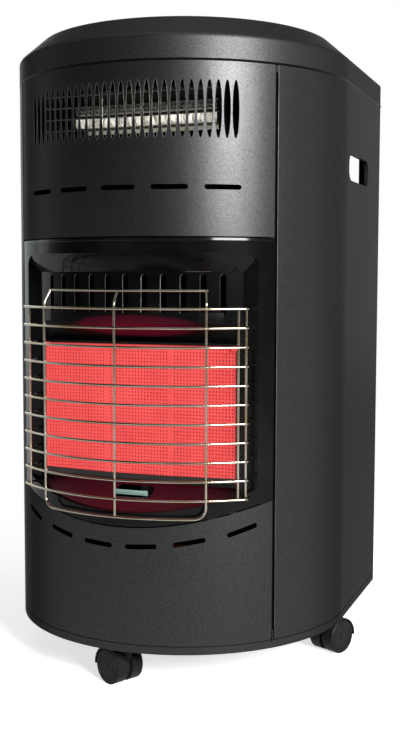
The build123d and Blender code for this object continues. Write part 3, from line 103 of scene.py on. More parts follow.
class Tree:
    """A node tree with one way to add a node."""

    def __init__(self, tree: bpy.types.NodeTree) -> None:
        """Takes an empty tree."""
        self.tree = tree

    def feed(self, node: bpy.types.Node, inputs: Mapping[str | int, object]) -> None:
        """Sets or links a node's inputs.

        Args:
            node: The node.
            inputs: Constant or pin, a node with the name of its output, of each input.
        """
        for key, value in inputs.items():
            if isinstance(value, tuple) and isinstance(value[0], bpy.types.Node):
                self.tree.links.new(value[0].outputs[value[1]], node.inputs[key])
            else:
                node.inputs[key].default_value = value

    def add(
        self,
        kind: str,
        inputs: Mapping[str | int, object] | None = None,
        stops: Stops = (),
        **settings: object,
    ) -> bpy.types.Node:
        """Adds a node with its settings and links.

        Args:
            kind: Blender's name of the node type.
            inputs: Constant or pin of each input.
            stops: Positions and screen colours of a colour ramp, in order.
            settings: Properties of the node.

        Returns:
            The new node.
        """
        node = self.tree.nodes.new(kind)
        for key, value in settings.items():
            setattr(node, key, value)
        for index, (position, code) in enumerate(stops):
            marks = node.color_ramp.elements
            mark = marks[index] if index < len(marks) else marks.new(position)
            mark.position = position
            mark.color = linear(code)
        self.feed(node, inputs or {})
        return node


class Surface(Tree):
    """A material's tree with a Principled shader."""

    def __init__(self, name: str) -> None:
        """Starts the material."""
        self.material = bpy.data.materials.new(name)
        self.material.use_nodes = True
        super().__init__(self.material.node_tree)
        self.tree.nodes.clear()
        self.place: Pin = (self.add("ShaderNodeTexCoord"), "Object")
        self.shader = self.add("ShaderNodeBsdfPrincipled")
        self.output = self.add("ShaderNodeOutputMaterial", {"Surface": (self.shader, "BSDF")})

    def grain(self, size_mm: float, detail: float, stretch: Vector | None = None) -> dict[str, object]:
        """Makes the inputs of a noise whose grains have a real size.

        Args:
            size_mm: Size of one grain in millimetres.
            detail: Number of finer layers.
            stretch: Scale along each axis, or None.

        Returns:
            Inputs for a noise.
        """
        place = self.place
        if stretch is not None:
            place = (self.add("ShaderNodeMapping", {"Vector": place, "Scale": stretch}), "Vector")
        return {"Vector": place, "Scale": per(size_mm), "Detail": detail}

    def layers(
        self,
        tint: Mapping[str, object],
        stops: Stops,
        rough: Mapping[str, object] | None = None,
        span: tuple[float, float] = (0.0, 1.0),
        reliefs: Iterable[tuple[Mapping[str, object], float, float]] = (),
    ) -> dict[str, object]:
        """Varies colour, roughness and relief, each by a noise.

        Args:
            tint: Noise inputs that the colour follows.
            stops: Colours over that noise.
            rough: Noise inputs that the roughness follows, or None.
            span: Least and greatest roughness.
            reliefs: Noise inputs, height in millimetres and share of each relief.

        Returns:
            Inputs for the shader.
        """
        noise = (self.add("ShaderNodeTexNoise", tint), "Fac")
        ramp = self.add("ShaderNodeValToRGB", {"Fac": noise}, stops)
        inputs: dict[str, object] = {"Base Color": (ramp, "Color")}
        if rough:
            noise = (self.add("ShaderNodeTexNoise", rough), "Fac")
            reach = {"Value": noise, "To Min": span[0], "To Max": span[1]}
            inputs["Roughness"] = (self.add("ShaderNodeMapRange", reach), "Result")
        for relief, height_mm, share in reliefs:
            noise = (self.add("ShaderNodeTexNoise", relief), "Fac")
            bump = {"Height": noise, "Distance": height_mm * MM, "Strength": share}
            if "Normal" in inputs:
                bump["Normal"] = inputs["Normal"]
            inputs["Normal"] = (self.add("ShaderNodeBump", bump), "Normal")
        return inputs


class Shaper(Tree):
    """A geometry node tree with named inputs, turned into a plain mesh when it is run."""

    SOCKETS = {float: "NodeSocketFloat", int: "NodeSocketInt"}

    def __init__(self, name: str, values: dict[str, object]) -> None:
        """Starts a tree.

        Args:
            name: Name of the tree.
            values: Value of each named input.
        """
        super().__init__(bpy.data.node_groups.new(name, "GeometryNodeTree"))
        face = self.tree.interface
        face.new_socket("Geometry", in_out="OUTPUT", socket_type="NodeSocketGeometry")
        face.new_socket("Geometry", in_out="INPUT", socket_type="NodeSocketGeometry")
        self.values = values
        self.keys: dict[str, str] = {}
        for key, value in values.items():
            kind = self.SOCKETS.get(type(value), "NodeSocketMaterial")
            self.keys[key] = face.new_socket(key, in_out="INPUT", socket_type=kind).identifier
        entry = self.add("NodeGroupInput")
        self.given: dict[str, Pin] = {key: (entry, key) for key in ("Geometry", *values)}
        self.exit = self.add("NodeGroupOutput")

    def cover(self, shape: Pin, material: str) -> Pin:
        """Realises a shape and gives it one of the material inputs."""
        real = self.add("GeometryNodeRealizeInstances", {"Geometry": shape})
        inputs = {"Geometry": (real, "Geometry"), "Material": self.given[material]}
        return self.add("GeometryNodeSetMaterial", inputs), "Geometry"

    def run(self, name: str, shape: Pin, host: bpy.types.Mesh | None = None) -> bpy.types.Object:
        """Evaluates the tree on a host mesh and keeps the result as a plain piece.

        Args:
            name: Name of the piece.
            shape: Pin that gives the finished geometry.
            host: Mesh that the tree starts from, or None.

        Returns:
            The finished piece.
        """
        self.feed(self.exit, {"Geometry": shape})
        carrier = link(f"{name}_host", host or bpy.data.meshes.new(f"{name}_host"))
        modifier = carrier.modifiers.new("shape", "NODES")
        modifier.node_group = self.tree
        for key, value in self.values.items():
            modifier[self.keys[key]] = value
        graph = bpy.context.evaluated_depsgraph_get()
        mesh = bpy.data.meshes.new_from_object(carrier.evaluated_get(graph))
        mesh.name = name
        carrier.modifiers.clear()
        bpy.data.objects.remove(carrier)
        return link(name, mesh)


def link(name: str, data: bpy.types.ID) -> bpy.types.Object:
    """Puts a mesh, a lamp or a camera in the scene."""
    holder = bpy.data.objects.new(name, data)
    bpy.context.scene.collection.objects.link(holder)
    return holder


def shade_smooth(mesh: bpy.types.Mesh, angle_deg: float = 35.0) -> None:
    """Smooths a mesh except at edges sharper than an angle."""
    mesh.shade_smooth()
    mesh.set_sharp_from_angle(angle=math.radians(angle_deg))


def points_mesh(name: str, places: Iterable[Vector]) -> bpy.types.Mesh:
    """Mesh of loose points that instances stand on."""
    mesh = bpy.data.meshes.new(name)
    mesh.from_pydata([tuple(place) for place in places], [], [])
    return mesh


def on_cabinet(piece: bpy.types.Object) -> None:
    """Lets a finished piece ride on the cabinet."""
    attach(piece, CABINET)
    LOG.info("piece %s", piece.name)


@dataclass(frozen=True)
class Finish:
    """What every finish has in common."""

    name: str

    def inputs(self, skin: Surface) -> dict[str, object]:
        """Makes the shader's inputs."""
        raise NotImplementedError

    def build(self) -> Material:
        """Makes the material."""
        skin = Surface(self.name)
        skin.feed(skin.shader, self.inputs(skin))
        return skin.material


@dataclass(frozen=True)
class PowderCoat(Finish):
    """Satin metallic powder coat with a fine sparkle and orange peel."""

    dark: str
    light: str
    roughness: float = 0.38
    metallic: float = 0.88
    edge: float = 0.3
    peel_mm: float = 1.6
    sparkle_mm: float = 0.6

    def inputs(self, coat: Surface) -> dict[str, object]:
        """Makes the shader's inputs."""
        layers = coat.layers(
            coat.grain(self.sparkle_mm, 1.0),
            ((0.36, self.dark), (0.68, self.light)),
            coat.grain(90.0, 3.0),
            (self.roughness - 0.03, self.roughness + 0.03),
            (
                (coat.grain(self.peel_mm, 1.0), 0.03, 0.5),
                (coat.grain(self.sparkle_mm, 0.0), 0.004, 0.5),
            ),
        )
        edge = {"Specular IOR Level": 0.15, "Specular Tint": (self.edge, self.edge, self.edge, 1.0)}
        return {**layers, **edge, "Metallic": self.metallic}


@dataclass(frozen=True)
class Enamel(Finish):
    """Gloss vitreous enamel with a faint ripple, and a painted reflection of the burner's glow where
    it faces the burner.
    """

    tone: str
    roughness: float = 0.08
    ripple_mm: float = 14.0
    # The glow fields paint the burner's reflected glow as an emissive oval: its colours, middle, size
    # and soft edge.
    level: float = 0.14
    glow: str = UNLIT
    reflected_glow_edge: str = UNLIT
    centre: tuple[float, float, float] = (0.0, 0.0, 0.0)
    reach: tuple[float, float, float] = (1.0, 1.0, 1.0)
    soft: float = 0.25

    def warm(self, coat: Surface) -> dict[str, object]:
        """Makes the painted reflection of the burner's glow: an emissive oval patch with a soft edge.
        """
        oval = {"Vector": coat.place, "Location": self.centre, "Scale": self.reach}
        shift = coat.add("ShaderNodeMapping", oval, vector_type="TEXTURE")
        length = coat.add("ShaderNodeVectorMath", {0: (shift, "Vector")}, operation="LENGTH")
        stops = ((0.0, self.glow), (1.0 - self.soft, self.reflected_glow_edge), (1.0, UNLIT))
        patch = coat.add("ShaderNodeValToRGB", {"Fac": (length, "Value")}, stops)
        return {"Emission Color": (patch, "Color"), "Emission Strength": 1.0}

    def inputs(self, coat: Surface) -> dict[str, object]:
        """Makes the shader's inputs."""
        cloud = coat.grain(60.0, 4.0)
        layers = coat.layers(
            cloud,
            ((0.3, self.tone), (0.8, "0e0f0f")),
            cloud,
            (self.roughness * 0.7, self.roughness * 1.5),
            ((coat.grain(self.ripple_mm, 1.0), 0.12, 0.4),),
        )
        # Painted reflection of the burner's glow, where a glow colour is given.
        glow = self.warm(coat) if self.glow != UNLIT else {}
        return {**layers, **glow, "Specular IOR Level": self.level}


@dataclass(frozen=True)
class DrawnMetal(Finish):
    """Bare metal with fine lines along one direction."""

    dark: str
    light: str
    roughness: float
    along: Axis = Axis.X
    line_mm: float = 0.25

    def inputs(self, skin: Surface) -> dict[str, object]:
        """Makes the shader's inputs."""
        stretch = Vector([0.04 if part else 1.0 for part in self.along.value])
        lines = skin.grain(self.line_mm, 2.0, stretch)
        tones = ((0.3, self.dark), (0.7, self.light))
        span = (self.roughness * 0.75, self.roughness * 1.35)
        layers = skin.layers(lines, tones, skin.grain(25.0, 3.0), span, ((lines, 0.01, 0.5),))
        return {**layers, "Metallic": 1.0}


@dataclass(frozen=True)
class HeaterTrough(Finish):
    """Polished trough of the electric unit: dark, with painted reflections of the tubes as streaked
    bands at given heights and a faint painted glow.
    """

    dark_tone: str
    dim_reflection: str
    tube_reflection: str
    bands: tuple[tuple[float, int], ...]
    foot: float
    height: float
    reach: float
    centre_x: float
    line_mm: float = 1.4

    def inputs(self, skin: Surface) -> dict[str, object]:
        """Makes the shader's inputs."""
        lines = skin.grain(self.line_mm, 3.0, Vector((0.9, 0.3, 0.3)))
        streaks = skin.add("ShaderNodeTexNoise", lines)
        split = skin.add("ShaderNodeSeparateXYZ", {"Vector": skin.place})
        rise = {"Value": (split, "Z"), "From Min": self.foot, "From Max": self.foot + self.height}
        level = skin.add("ShaderNodeMapRange", rise)
        tones = (self.dark_tone, self.dim_reflection, self.tube_reflection)
        stops = [(place, tones[tone]) for place, tone in self.bands]
        bands = skin.add("ShaderNodeValToRGB", {"Fac": (level, "Result")}, stops)
        shift = skin.add("ShaderNodeMath", {0: (split, "X"), 1: self.centre_x}, operation="SUBTRACT")
        away = skin.add("ShaderNodeMath", {0: (shift, 0)}, operation="ABSOLUTE")
        inside = skin.add("ShaderNodeMath", {0: (away, 0), 1: self.reach}, operation="LESS_THAN")
        # Streaks vary the painted reflections, which show only within reach of the tubes' middle;
        # elsewhere the dark tone shows.
        streak_spread = {"Value": (streaks, "Fac"), "To Min": 0.35, "To Max": 1.25}
        worn = {0: (skin.add("ShaderNodeMapRange", streak_spread), "Result"), 1: (inside, 0)}
        share = skin.add("ShaderNodeMath", worn, operation="MULTIPLY")
        mixed = {"Factor": (share, 0), "A": linear(self.dark_tone), "B": (bands, "Color")}
        tint = (skin.add("ShaderNodeMix", mixed, data_type="RGBA"), "Result")
        relief = {"Height": (streaks, "Fac"), "Distance": 0.05 * MM, "Strength": 0.5}
        # The emission is a painted glow of the trough, in the same tones.
        return {
            "Base Color": tint,
            "Emission Color": tint,
            "Emission Strength": 0.35,
            "Normal": (skin.add("ShaderNodeBump", relief), "Normal"),
            "Metallic": 0.6,
            "Roughness": 0.35,
        }


@dataclass(frozen=True)
class ZincSheet(Finish):
    """Galvanised sheet with its spangle."""

    spangle_mm: float = 9.0

    def inputs(self, skin: Surface) -> dict[str, object]:
        """Makes the shader's inputs."""
        size = {"Vector": skin.place, "Scale": per(self.spangle_mm)}
        cell = (skin.add("ShaderNodeTexVoronoi", size), "Color")
        tint = skin.add("ShaderNodeValToRGB", {"Fac": cell}, ((0.1, "7c8082"), (0.9, "a9adaf")))
        rough = skin.add("ShaderNodeMapRange", {"Value": cell, "To Min": 0.3, "To Max": 0.5})
        grit = skin.add("ShaderNodeTexNoise", skin.grain(0.8, 2.0))
        relief = {"Height": (grit, "Fac"), "Distance": 0.01 * MM, "Strength": 0.4}
        return {
            "Base Color": (tint, "Color"),
            "Roughness": (rough, "Result"),
            "Normal": (skin.add("ShaderNodeBump", relief), "Normal"),
            "Metallic": 0.9,
        }


@dataclass(frozen=True)
class Grit(Finish):
    """Cast metal, fired ceramic or printed paint with a grainy skin."""

    dark: str
    light: str
    grain_mm: float = 0.7
    roughness: float = 0.8
    metallic: float = 0.0
    relief_mm: float = 0.03

    def inputs(self, skin: Surface) -> dict[str, object]:
        """Makes the shader's inputs."""
        grain = skin.grain(self.grain_mm, 3.0)
        tones = ((0.3, self.dark), (0.7, self.light))
        layers = skin.layers(grain, tones, reliefs=((grain, self.relief_mm, 0.6),))
        return {**layers, "Metallic": self.metallic, "Roughness": self.roughness}


@dataclass(frozen=True)
class ChromedWire(Finish):
    """Chromed wire whose tone varies at random between a cool grey and a faint straw."""

    cool: str = "a8a498"
    warm: str = "8f8368"
    polish: float = 0.16

    def inputs(self, skin: Surface) -> dict[str, object]:
        """Makes the shader's inputs."""
        tones = ((0.35, self.cool), (0.75, self.warm))
        span = (self.polish * 0.6, self.polish * 1.5)
        layers = skin.layers(skin.grain(45.0, 2.0), tones, skin.grain(3.0, 2.0), span)
        return {**layers, "Metallic": 1.0}


@dataclass(frozen=True)
class MouldedPlastic(Finish):
    """Moulded plastic with a spark-eroded grain."""

    tone: str
    worn: str
    roughness: float = 0.45
    grain_mm: float = 0.5
    level: float = 0.12

    def inputs(self, skin: Surface) -> dict[str, object]:
        """Makes the shader's inputs."""
        cloud = skin.grain(20.0, 4.0)
        tones = ((0.35, self.tone), (0.8, self.worn))
        span = (self.roughness - 0.06, self.roughness + 0.08)
        relief = (skin.grain(self.grain_mm, 1.0), 0.02, 0.5)
        layers = skin.layers(cloud, tones, cloud, span, (relief,))
        return {**layers, "Specular IOR Level": self.level}


@dataclass(frozen=True)
class GlowingCeramic(Finish):
    """Lit burner ceramic with slow changes of heat and a gritty face."""

    cool: str
    hot: str
    fired: str
    strength: float

    def inputs(self, skin: Surface) -> dict[str, object]:
        """Makes the shader's inputs."""
        tones = ((0.3, self.cool), (0.7, self.hot))
        relief = (skin.grain(0.6, 2.0), 0.05, 0.6)
        layers = skin.layers(skin.grain(38.0, 3.0), tones, reliefs=(relief,))
        glow = {"Emission Color": layers.pop("Base Color"), "Emission Strength": self.strength}
        return {**layers, **glow, "Base Color": linear(self.fired), "Roughness": 0.9}


@dataclass(frozen=True)
class QuartzTube(Finish):
    """Milky quartz tube round a heating coil."""

    edge: str
    core: str
    strength: float
    coil_mm: float = 2.6

    def inputs(self, skin: Surface) -> dict[str, object]:
        """Makes the shader's inputs."""
        turns = skin.grain(self.coil_mm, 2.0, Vector((1.0, 0.25, 0.25)))
        layers = skin.layers(turns, ((0.36, self.edge), (0.6, self.core)))
        glow = {"Emission Color": layers["Base Color"], "Emission Strength": self.strength}
        return {**layers, **glow, "Roughness": 0.12, "Coat Weight": 1.0, "Coat Roughness": 0.05}


# Height share and tone (dark, dim reflection or tube reflection) of each stop on the reflector:
# painted reflections of the tubes.
PAINTED_REFLECTION_BANDS = (
    *((0.0, 0), (0.1, 0), (0.13, 2), (0.25, 2), (0.28, 0)),
    *((0.42, 2), (0.52, 2), (0.56, 0), (0.72, 1), (0.84, 0)),
)

FINISHES = {
    "powder": PowderCoat("powder_coat_dark_grey", "262828", "444546"),
    "lid": PowderCoat("powder_coat_lid", "262828", "434445", 0.45),
    # The inside black also paints the strips of shade in the seams and under the lid.
    "inside": PowderCoat("powder_coat_black_inside", "040404", "0a0a0a", 0.6, 0.0, 0.1),
    "gloss": Enamel("enamel_gloss_black", "020202", 0.12, level=0.13),
    # Hood and tray carry a painted reflection of the plaques' glow.
    "hood": Enamel(
        "enamel_hood_painted_glow_reflection",
        "060405",
        0.3,
        level=0.05,
        glow="4c0018",
        reflected_glow_edge="3a0011",
        centre=(0.007, -0.165, 0.4115),
        reach=(0.08, 0.09, 0.0135),
        soft=0.16,
    ),
    "tray": Enamel(
        "enamel_tray_painted_glow_reflection",
        "060405",
        0.3,
        level=0.1,
        glow="420414",
        reflected_glow_edge="34020d",
        centre=(0.0, -0.17, 0.213),
        reach=(0.135, 0.07, 0.04),
    ),
    "brow": Enamel("enamel_rolled_edge", "040404", 0.1, level=0.22),
    # Warm brown tint of the frame's enamel: painted reflection of the plaques' glow.
    "rim": Enamel("enamel_frame_painted_glow_tint", "0a0605", 0.2, level=0.2),
    # Brown tone of the lip: painted reflection of the plaques' glow.
    "lip": Enamel("enamel_lip_painted_glow_tint", "1c120a", 0.25, level=0.5),
    "zinc": ZincSheet("zinc_sheet"),
    "chrome": ChromedWire("chromed_wire"),
    "grille": ChromedWire("blackened_wire", "8a8983", "5d5b56", 0.3),
    # Light metals of the painted glints on cut edges and on the side panels' rolled edges.
    "edge": ChromedWire("strong_edge_glint", "a4a4a0", "84827c", 0.3),
    "worn": ChromedWire("faint_edge_glint", "646461", "4e4d4a", 0.5),
    "reflector": HeaterTrough(
        "trough_aluminium_painted_reflections",
        dark_tone="060606",
        dim_reflection="262523",
        tube_reflection="b5b1a4",
        bands=PAINTED_REFLECTION_BANDS,
        foot=0.626,
        height=0.05,
        reach=0.09,
        centre_x=0.004,
    ),
    "steel": DrawnMetal("plated_steel", "85888a", "b5b8ba", 0.3),
    "brass": DrawnMetal("brass_machined", "9b7a3a", "c8a35a", 0.28, Axis.Z),
    "cast": Grit("aluminium_cast", "6e7072", "94979a", 0.9, 0.5, 0.85, 0.05),
    "black": MouldedPlastic("nylon_black", "101011", "1c1c1e"),
    "facia": MouldedPlastic("facia_black", "0b0b0c", "151517", 0.25, 0.3),
    "red": MouldedPlastic("plastic_red", "8c1010", "a81a17", 0.25, 0.8),
    "cap": Grit("steatite_white", "b7b2a6", "d6d2c6"),
    "paint": Grit("printed_paint_white", "cfcfca", "e4e4e0"),
    "plaque": GlowingCeramic("ceramic_plaque_lit", "d83e40", "e8504f", "a03a38", 0.66),
    "plaque_hole": GlowingCeramic("ceramic_plaque_hole_lit", "a01c20", "b82828", "7a1c1c", 0.62),
    "quartz_lit": QuartzTube("quartz_lit", "7b786d", "e6e3d9", 0.9),
    # The upper tube is unlit; its faint emission is a painted sheen.
    "quartz_unlit_painted_sheen": QuartzTube("quartz_unlit_painted_sheen", "161616", "565450", 0.3),
    "pilot": Grit("pilot_strip_glaze", "6f8c88", "86a29c"),
}

NODE_FINISH = {
    "powder": (
        *("base_pan", "left_side_panel", "right_side_panel", "rear_cover"),
        *("upper_front_panel", "lower_front_panel", "control_tray"),
    ),
    "lid": ("lid",),
    "gloss": ("front_bezel",),
    "hood": ("burner_hood",),
    "tray": ("burner_tray",),
    "rim": ("burner_frame",),
    "inside": ("partition",),
    "zinc": ("rear_hooks", "pilot_bracket"),
    "chrome": ("wire_guard",),
    "grille": ("inner_grille",),
    "reflector": ("electric_reflector",),
    "steel": ("caster_stems", "screws", "valve_spindle", "rear_catches"),
    "brass": ("gas_manifold", "supply_pipe", "hose_inlet", "gas_valve_body", "valve_plug"),
    "cast": ("burner_box_left", "burner_box_centre", "burner_box_right"),
    "black": ("gas_knob", "mains_gland", "switch_bodies", "igniter_body"),
    "facia": ("control_facia",),
    "red": ("igniter_button", "switch_rocker_1", "switch_rocker_2"),
    "cap": ("tube_end_caps",),
    "plaque": ("plaque_left", "plaque_centre", "plaque_right"),
    "quartz_lit": ("quartz_tube_lower",),
    "quartz_unlit_painted_sheen": ("quartz_tube_upper",),
}


def dress(nodes: Mapping[str, bpy.types.Object], materials: Mapping[str, Material]) -> None:
    """Gives every CAD node its finish, castors by their kind."""
    chosen = {node: key for key, names in NODE_FINISH.items() for node in names}
    for name, piece in nodes.items():
        by_kind = "steel" if name.startswith("caster_axle") else "black"
        key = chosen.get(name, by_kind)
        for holder in piece.material_slots:
            holder.material = materials[key]
        LOG.info("node %s: %s", name, key)


def mm_point(x: float, y: float, z: float) -> Vector:
    """Point given in millimetres."""
    return Vector((x * MM, y * MM, z * MM))


def on_front(turn: float, radius: float, height: float, centre_y: float = AXIS_Y) -> Vector:
    """Point on an upright cylinder.

    Args:
        turn: Angle from the middle of the front, positive to the right.
        radius: Radius of the cylinder.
        height: Height above the ground.
        centre_y: Where the cylinder's axis stands.

    Returns:
        The point.
    """
    return Vector((radius * math.sin(turn), centre_y - radius * math.cos(turn), height))


def stitch(
    body: bmesh.types.BMesh, rings: Iterable[Iterable[Vector]], caps: Iterable[int] = (0, -1)
) -> list[bmesh.types.BMFace]:
    """Joins rings of corners into a tube.

    Args:
        body: Mesh under construction.
        rings: Corners of each ring, the same number in all.
        caps: Which rings are closed with a face.

    Returns:
        The new faces.
    """
    loops = [[body.verts.new(point) for point in ring] for ring in rings]
    faces = []
    for near, far in zip(loops, loops[1:]):
        for index in range(len(near)):
            after = (index + 1) % len(near)
            faces.append(body.faces.new((near[index], near[after], far[after], far[index])))
    return faces + [body.faces.new(loops[index]) for index in caps]


def revolve(
    body: bmesh.types.BMesh,
    profile: Sequence[tuple[float, float]],
    centre: Vector,
    axis: Vector,
    steps: int = 48,
) -> None:
    """Turns an open profile about an axis.

    Args:
        body: Mesh under construction.
        profile: Radius and height along the axis of each corner.
        centre: Point on the axis at height zero.
        axis: Direction of the axis.
        steps: Corners of one ring.
    """
    turn = axis.to_track_quat("Z", "Y").to_matrix()
    angles = [math.tau * index / steps for index in range(steps)]
    rings = []
    for radius, height in profile:
        ring = [(radius * math.cos(angle), radius * math.sin(angle), height) for angle in angles]
        rings.append([centre + turn @ Vector(point) for point in ring])
    closed = [index for index, (radius, _) in enumerate(profile) if radius < CLOSED_RADIUS]
    stitch(body, rings, closed)


def close_mesh(name: str, body: bmesh.types.BMesh, material: Material) -> bpy.types.Object:
    """Turns a mesh under construction into a smooth-shaded piece on the cabinet."""
    bmesh.ops.recalc_face_normals(body, faces=body.faces[:])
    mesh = bpy.data.meshes.new(name)
    body.to_mesh(mesh)
    body.free()
    mesh.materials.append(material)
    shade_smooth(mesh)
    piece = link(name, mesh)
    on_cabinet(piece)
    return piece


def blocks(name: str, boxes: Iterable[tuple[Vector, Vector, float]], material: Material) -> None:
    """Builds a piece from boxes with eased edges.

    Args:
        name: Name of the piece.
        boxes: Lowest corner, highest corner and width of the eased edges of each box.
        material: Finish of the piece.
    """
    body = bmesh.new()
    for low, high, bevel in boxes:
        place = Matrix.Translation((low + high) / 2) @ Matrix.Diagonal((*(high - low), 1.0))
        made = bmesh.ops.create_cube(body, size=1.0, matrix=place)
        edges = {edge for corner in made["verts"] for edge in corner.link_edges}
        bmesh.ops.bevel(body, geom=list(edges), offset=bevel, segments=2, affect="EDGES", profile=0.6)
    close_mesh(name, body, material)


@dataclass
class Plaques:
    """Three perforated ceramic tiles with plain margins."""

    land: Material
    hole: Material
    pitch: float = 3.9 * MM
    margin: float = 2.4 * MM
    hole_share: float = 0.52
    depth: float = 1.6 * MM

    def field(self, name: str, width: float, height: float) -> bpy.types.Object:
        """Makes the perforated field, centred on the origin and facing -Y.

        Args:
            name: Name of the piece.
            width: Width of the field.
            height: Height of the field.

        Returns:
            The piece, still without its margin.
        """
        values = {
            "Width": width,
            "Height": height,
            "Columns": round(width / self.pitch) + 1,
            "Rows": round(height / self.pitch) + 1,
            "Hole share": self.hole_share,
            "Depth": -self.depth,
            "Land": self.land,
            "Hole": self.hole,
        }
        shaper = Shaper("perforated_face", values)
        given = shaper.given
        size = enumerate(("Width", "Height", "Columns", "Rows"))
        grid = shaper.add("GeometryNodeMeshGrid", {index: given[key] for index, key in size})
        parted = {"Mesh": (grid, "Mesh"), "Offset Scale": 0.0}
        split = shaper.add("GeometryNodeExtrudeMesh", parted, mode="FACES")
        top = (split, "Top")
        shrunk = {0: (split, "Mesh"), "Selection": top, "Scale": given["Hole share"]}
        shrink = shaper.add("GeometryNodeScaleElements", shrunk, domain="FACE")
        sunk = {"Mesh": (shrink, 0), "Selection": top, "Offset Scale": given["Depth"]}
        sink = shaper.add("GeometryNodeExtrudeMesh", sunk, mode="FACES")
        turned = {"Geometry": (sink, "Mesh"), "Rotation": (math.pi / 2, 0.0, 0.0)}
        upright = shaper.add("GeometryNodeTransform", turned)
        land = shaper.cover((upright, "Geometry"), "Land")
        floors = {"Geometry": land, "Selection": (sink, "Top"), "Material": given["Hole"]}
        return shaper.run(name, (shaper.add("GeometryNodeSetMaterial", floors), "Geometry"))

    def tile(self, node: str) -> None:
        """Builds one tile in place of its CAD node.

        Args:
            node: Name of the CAD node.
        """
        low, high = (Vector(corner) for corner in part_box(node))
        size = high - low
        piece = self.field(f"{node}_tile", size.x - 2 * self.margin, size.z - 2 * self.margin)
        centre = (low + high) / 2
        piece.data.transform(Matrix.Translation((centre.x, low.y, centre.z)))
        body = bmesh.new()
        body.from_mesh(piece.data)
        rings = []
        for inset, y in ((self.margin, low.y), (0.0, low.y), (0.0, high.y)):
            half_x, half_z = size.x / 2 - inset, size.z / 2 - inset
            signs = ((-1, -1), (1, -1), (1, 1), (-1, 1))
            rings.append([Vector((centre.x + a * half_x, y, centre.z + b * half_z)) for a, b in signs])
        land = piece.data.materials.find(self.land.name)
        for face in stitch(body, rings, (-1,)):
            face.material_index = land
        bmesh.ops.recalc_face_normals(body, faces=body.faces[:])
        body.to_mesh(piece.data)
        body.free()
        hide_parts(node)
        on_cabinet(piece)

    def build(self) -> None:
        """Builds all the tiles."""
        for side in ("left", "centre", "right"):
            self.tile(f"plaque_{side}")


@dataclass
class WireWelds:
    """Small weld beads where the guard's upright wires cross the level ones."""

    material: Material
    rows: int = 11
    pitch: float = 21.0 * MM
    top: float = 431.4 * MM
    radius: float = 217.6 * MM
    angles_deg: tuple[float, ...] = (-27.2, 0.0, 27.2, -36.7, 36.7)
    tail_post: tuple[float, float] = (136.0 * MM, -162.9 * MM)
    bead: float = 1.35 * MM

    def places(self) -> list[Vector]:
        """Crossing points of every pair of wires."""
        plan = [on_front(math.radians(angle), self.radius, 0.0) for angle in self.angles_deg]
        x, y = self.tail_post
        plan += [Vector((x, y + AXIS_Y, 0.0)), Vector((-x, y + AXIS_Y, 0.0))]
        heights = [self.top - index * self.pitch for index in range(self.rows)]
        return [Vector((point.x, point.y, z)) for point in plan for z in heights]

    def build(self) -> None:
        """Builds the beads as one piece."""
        shaper = Shaper("weld_beads", {"Radius": self.bead, "Subdivisions": 3, "Metal": self.material})
        size = {key: shaper.given[key] for key in ("Radius", "Subdivisions")}
        bead = shaper.add("GeometryNodeMeshIcoSphere", size)
        spread = {"Points": shaper.given["Geometry"], "Instance": (bead, "Mesh")}
        scatter = shaper.add("GeometryNodeInstanceOnPoints", spread)
        shape = shaper.cover((scatter, "Instances"), "Metal")
        piece = shaper.run("guard_welds", shape, points_mesh("guard_weld_points", self.places()))
        shade_smooth(piece.data)
        on_cabinet(piece)


@dataclass(frozen=True)
class Bow:
    """Closed section swept along a level arc that bows towards the front, in millimetres."""

    name: str
    finish: str
    axis_back: float
    half_width: float
    radius: float
    foot: float
    section: tuple[tuple[float, float], ...]
    steps: int = 64

    def build(self, material: Material) -> None:
        """Builds the piece.

        The section's corners are given as reach past the radius and rise above the foot.
        """
        centre_y = self.axis_back * MM + AXIS_Y
        radius, foot = self.radius, self.foot
        section = [((radius + reach) * MM, (foot + rise) * MM) for reach, rise in self.section]
        sweep = math.asin(self.half_width * MM / max(radius for radius, _ in section))
        turns = [sweep * (2 * index / self.steps - 1) for index in range(self.steps + 1)]
        body = bmesh.new()
        stitch(body, [[on_front(turn, r, z, centre_y) for r, z in section] for turn in turns])
        close_mesh(self.name, body, material)


BOWS = (
    # Rolled head of the hood in front of the vented wall.
    Bow(
        "hood_crown",
        "hood",
        axis_back=48.0,
        half_width=108.0,
        radius=234.0,
        foot=414.2,
        section=((-0.6, 0.0), (0.5, 0.0), (0.9, 4.0), (0.7, 11.2), (0.2, 12.4), (-0.6, 12.4)),
    ),
    # Rolled top edge of the surround, which catches the light under the panel above.
    Bow(
        "bezel_brow",
        "brow",
        axis_back=0.0,
        half_width=156.4,
        radius=207.5,
        foot=505.4,
        section=((-0.5, 0.0), (0.35, 0.15), (0.62, 0.6), (0.24, 3.1), (-0.5, 3.3)),
    ),
    # Bowed lip in front of the foot of the plaques.
    Bow(
        "foot_lip",
        "lip",
        axis_back=456.6,
        half_width=118.5,
        radius=621.0,
        foot=233.6,
        section=(
            *((-12.0, 0.0), (-0.6, 0.0), (0.0, 0.6), (0.0, 6.3)),
            *((-0.5, 6.8), (-1.2, 6.8), (-1.4, 1.4), (-12.0, 1.2)),
        ),
    ),
)


def plaque_clips(material: Material) -> None:
    """Two clips that hold the outer plaques at their head."""
    half = 3.4
    boxes = []
    for middle in (-117.6, 117.6):
        near = mm_point(middle - half, -154.4, 384.2)
        boxes.append((near, mm_point(middle + half, -151.0, 389.4), 1.3 * MM))
    blocks("plaque_clips", boxes, material)


def pilot_strip(material: Material) -> None:
    """Glazed strip of the pilot with its raised middle, seen through the slot of the tray."""
    strip = (mm_point(-25.0, -163.4, 215.4), mm_point(16.5, -161.6, 221.0), 0.6 * MM)
    middle = (mm_point(-23.0, -163.9, 217.0), mm_point(14.5, -162.8, 219.4), 0.25 * MM)
    blocks("pilot_strip", (strip, middle), material)


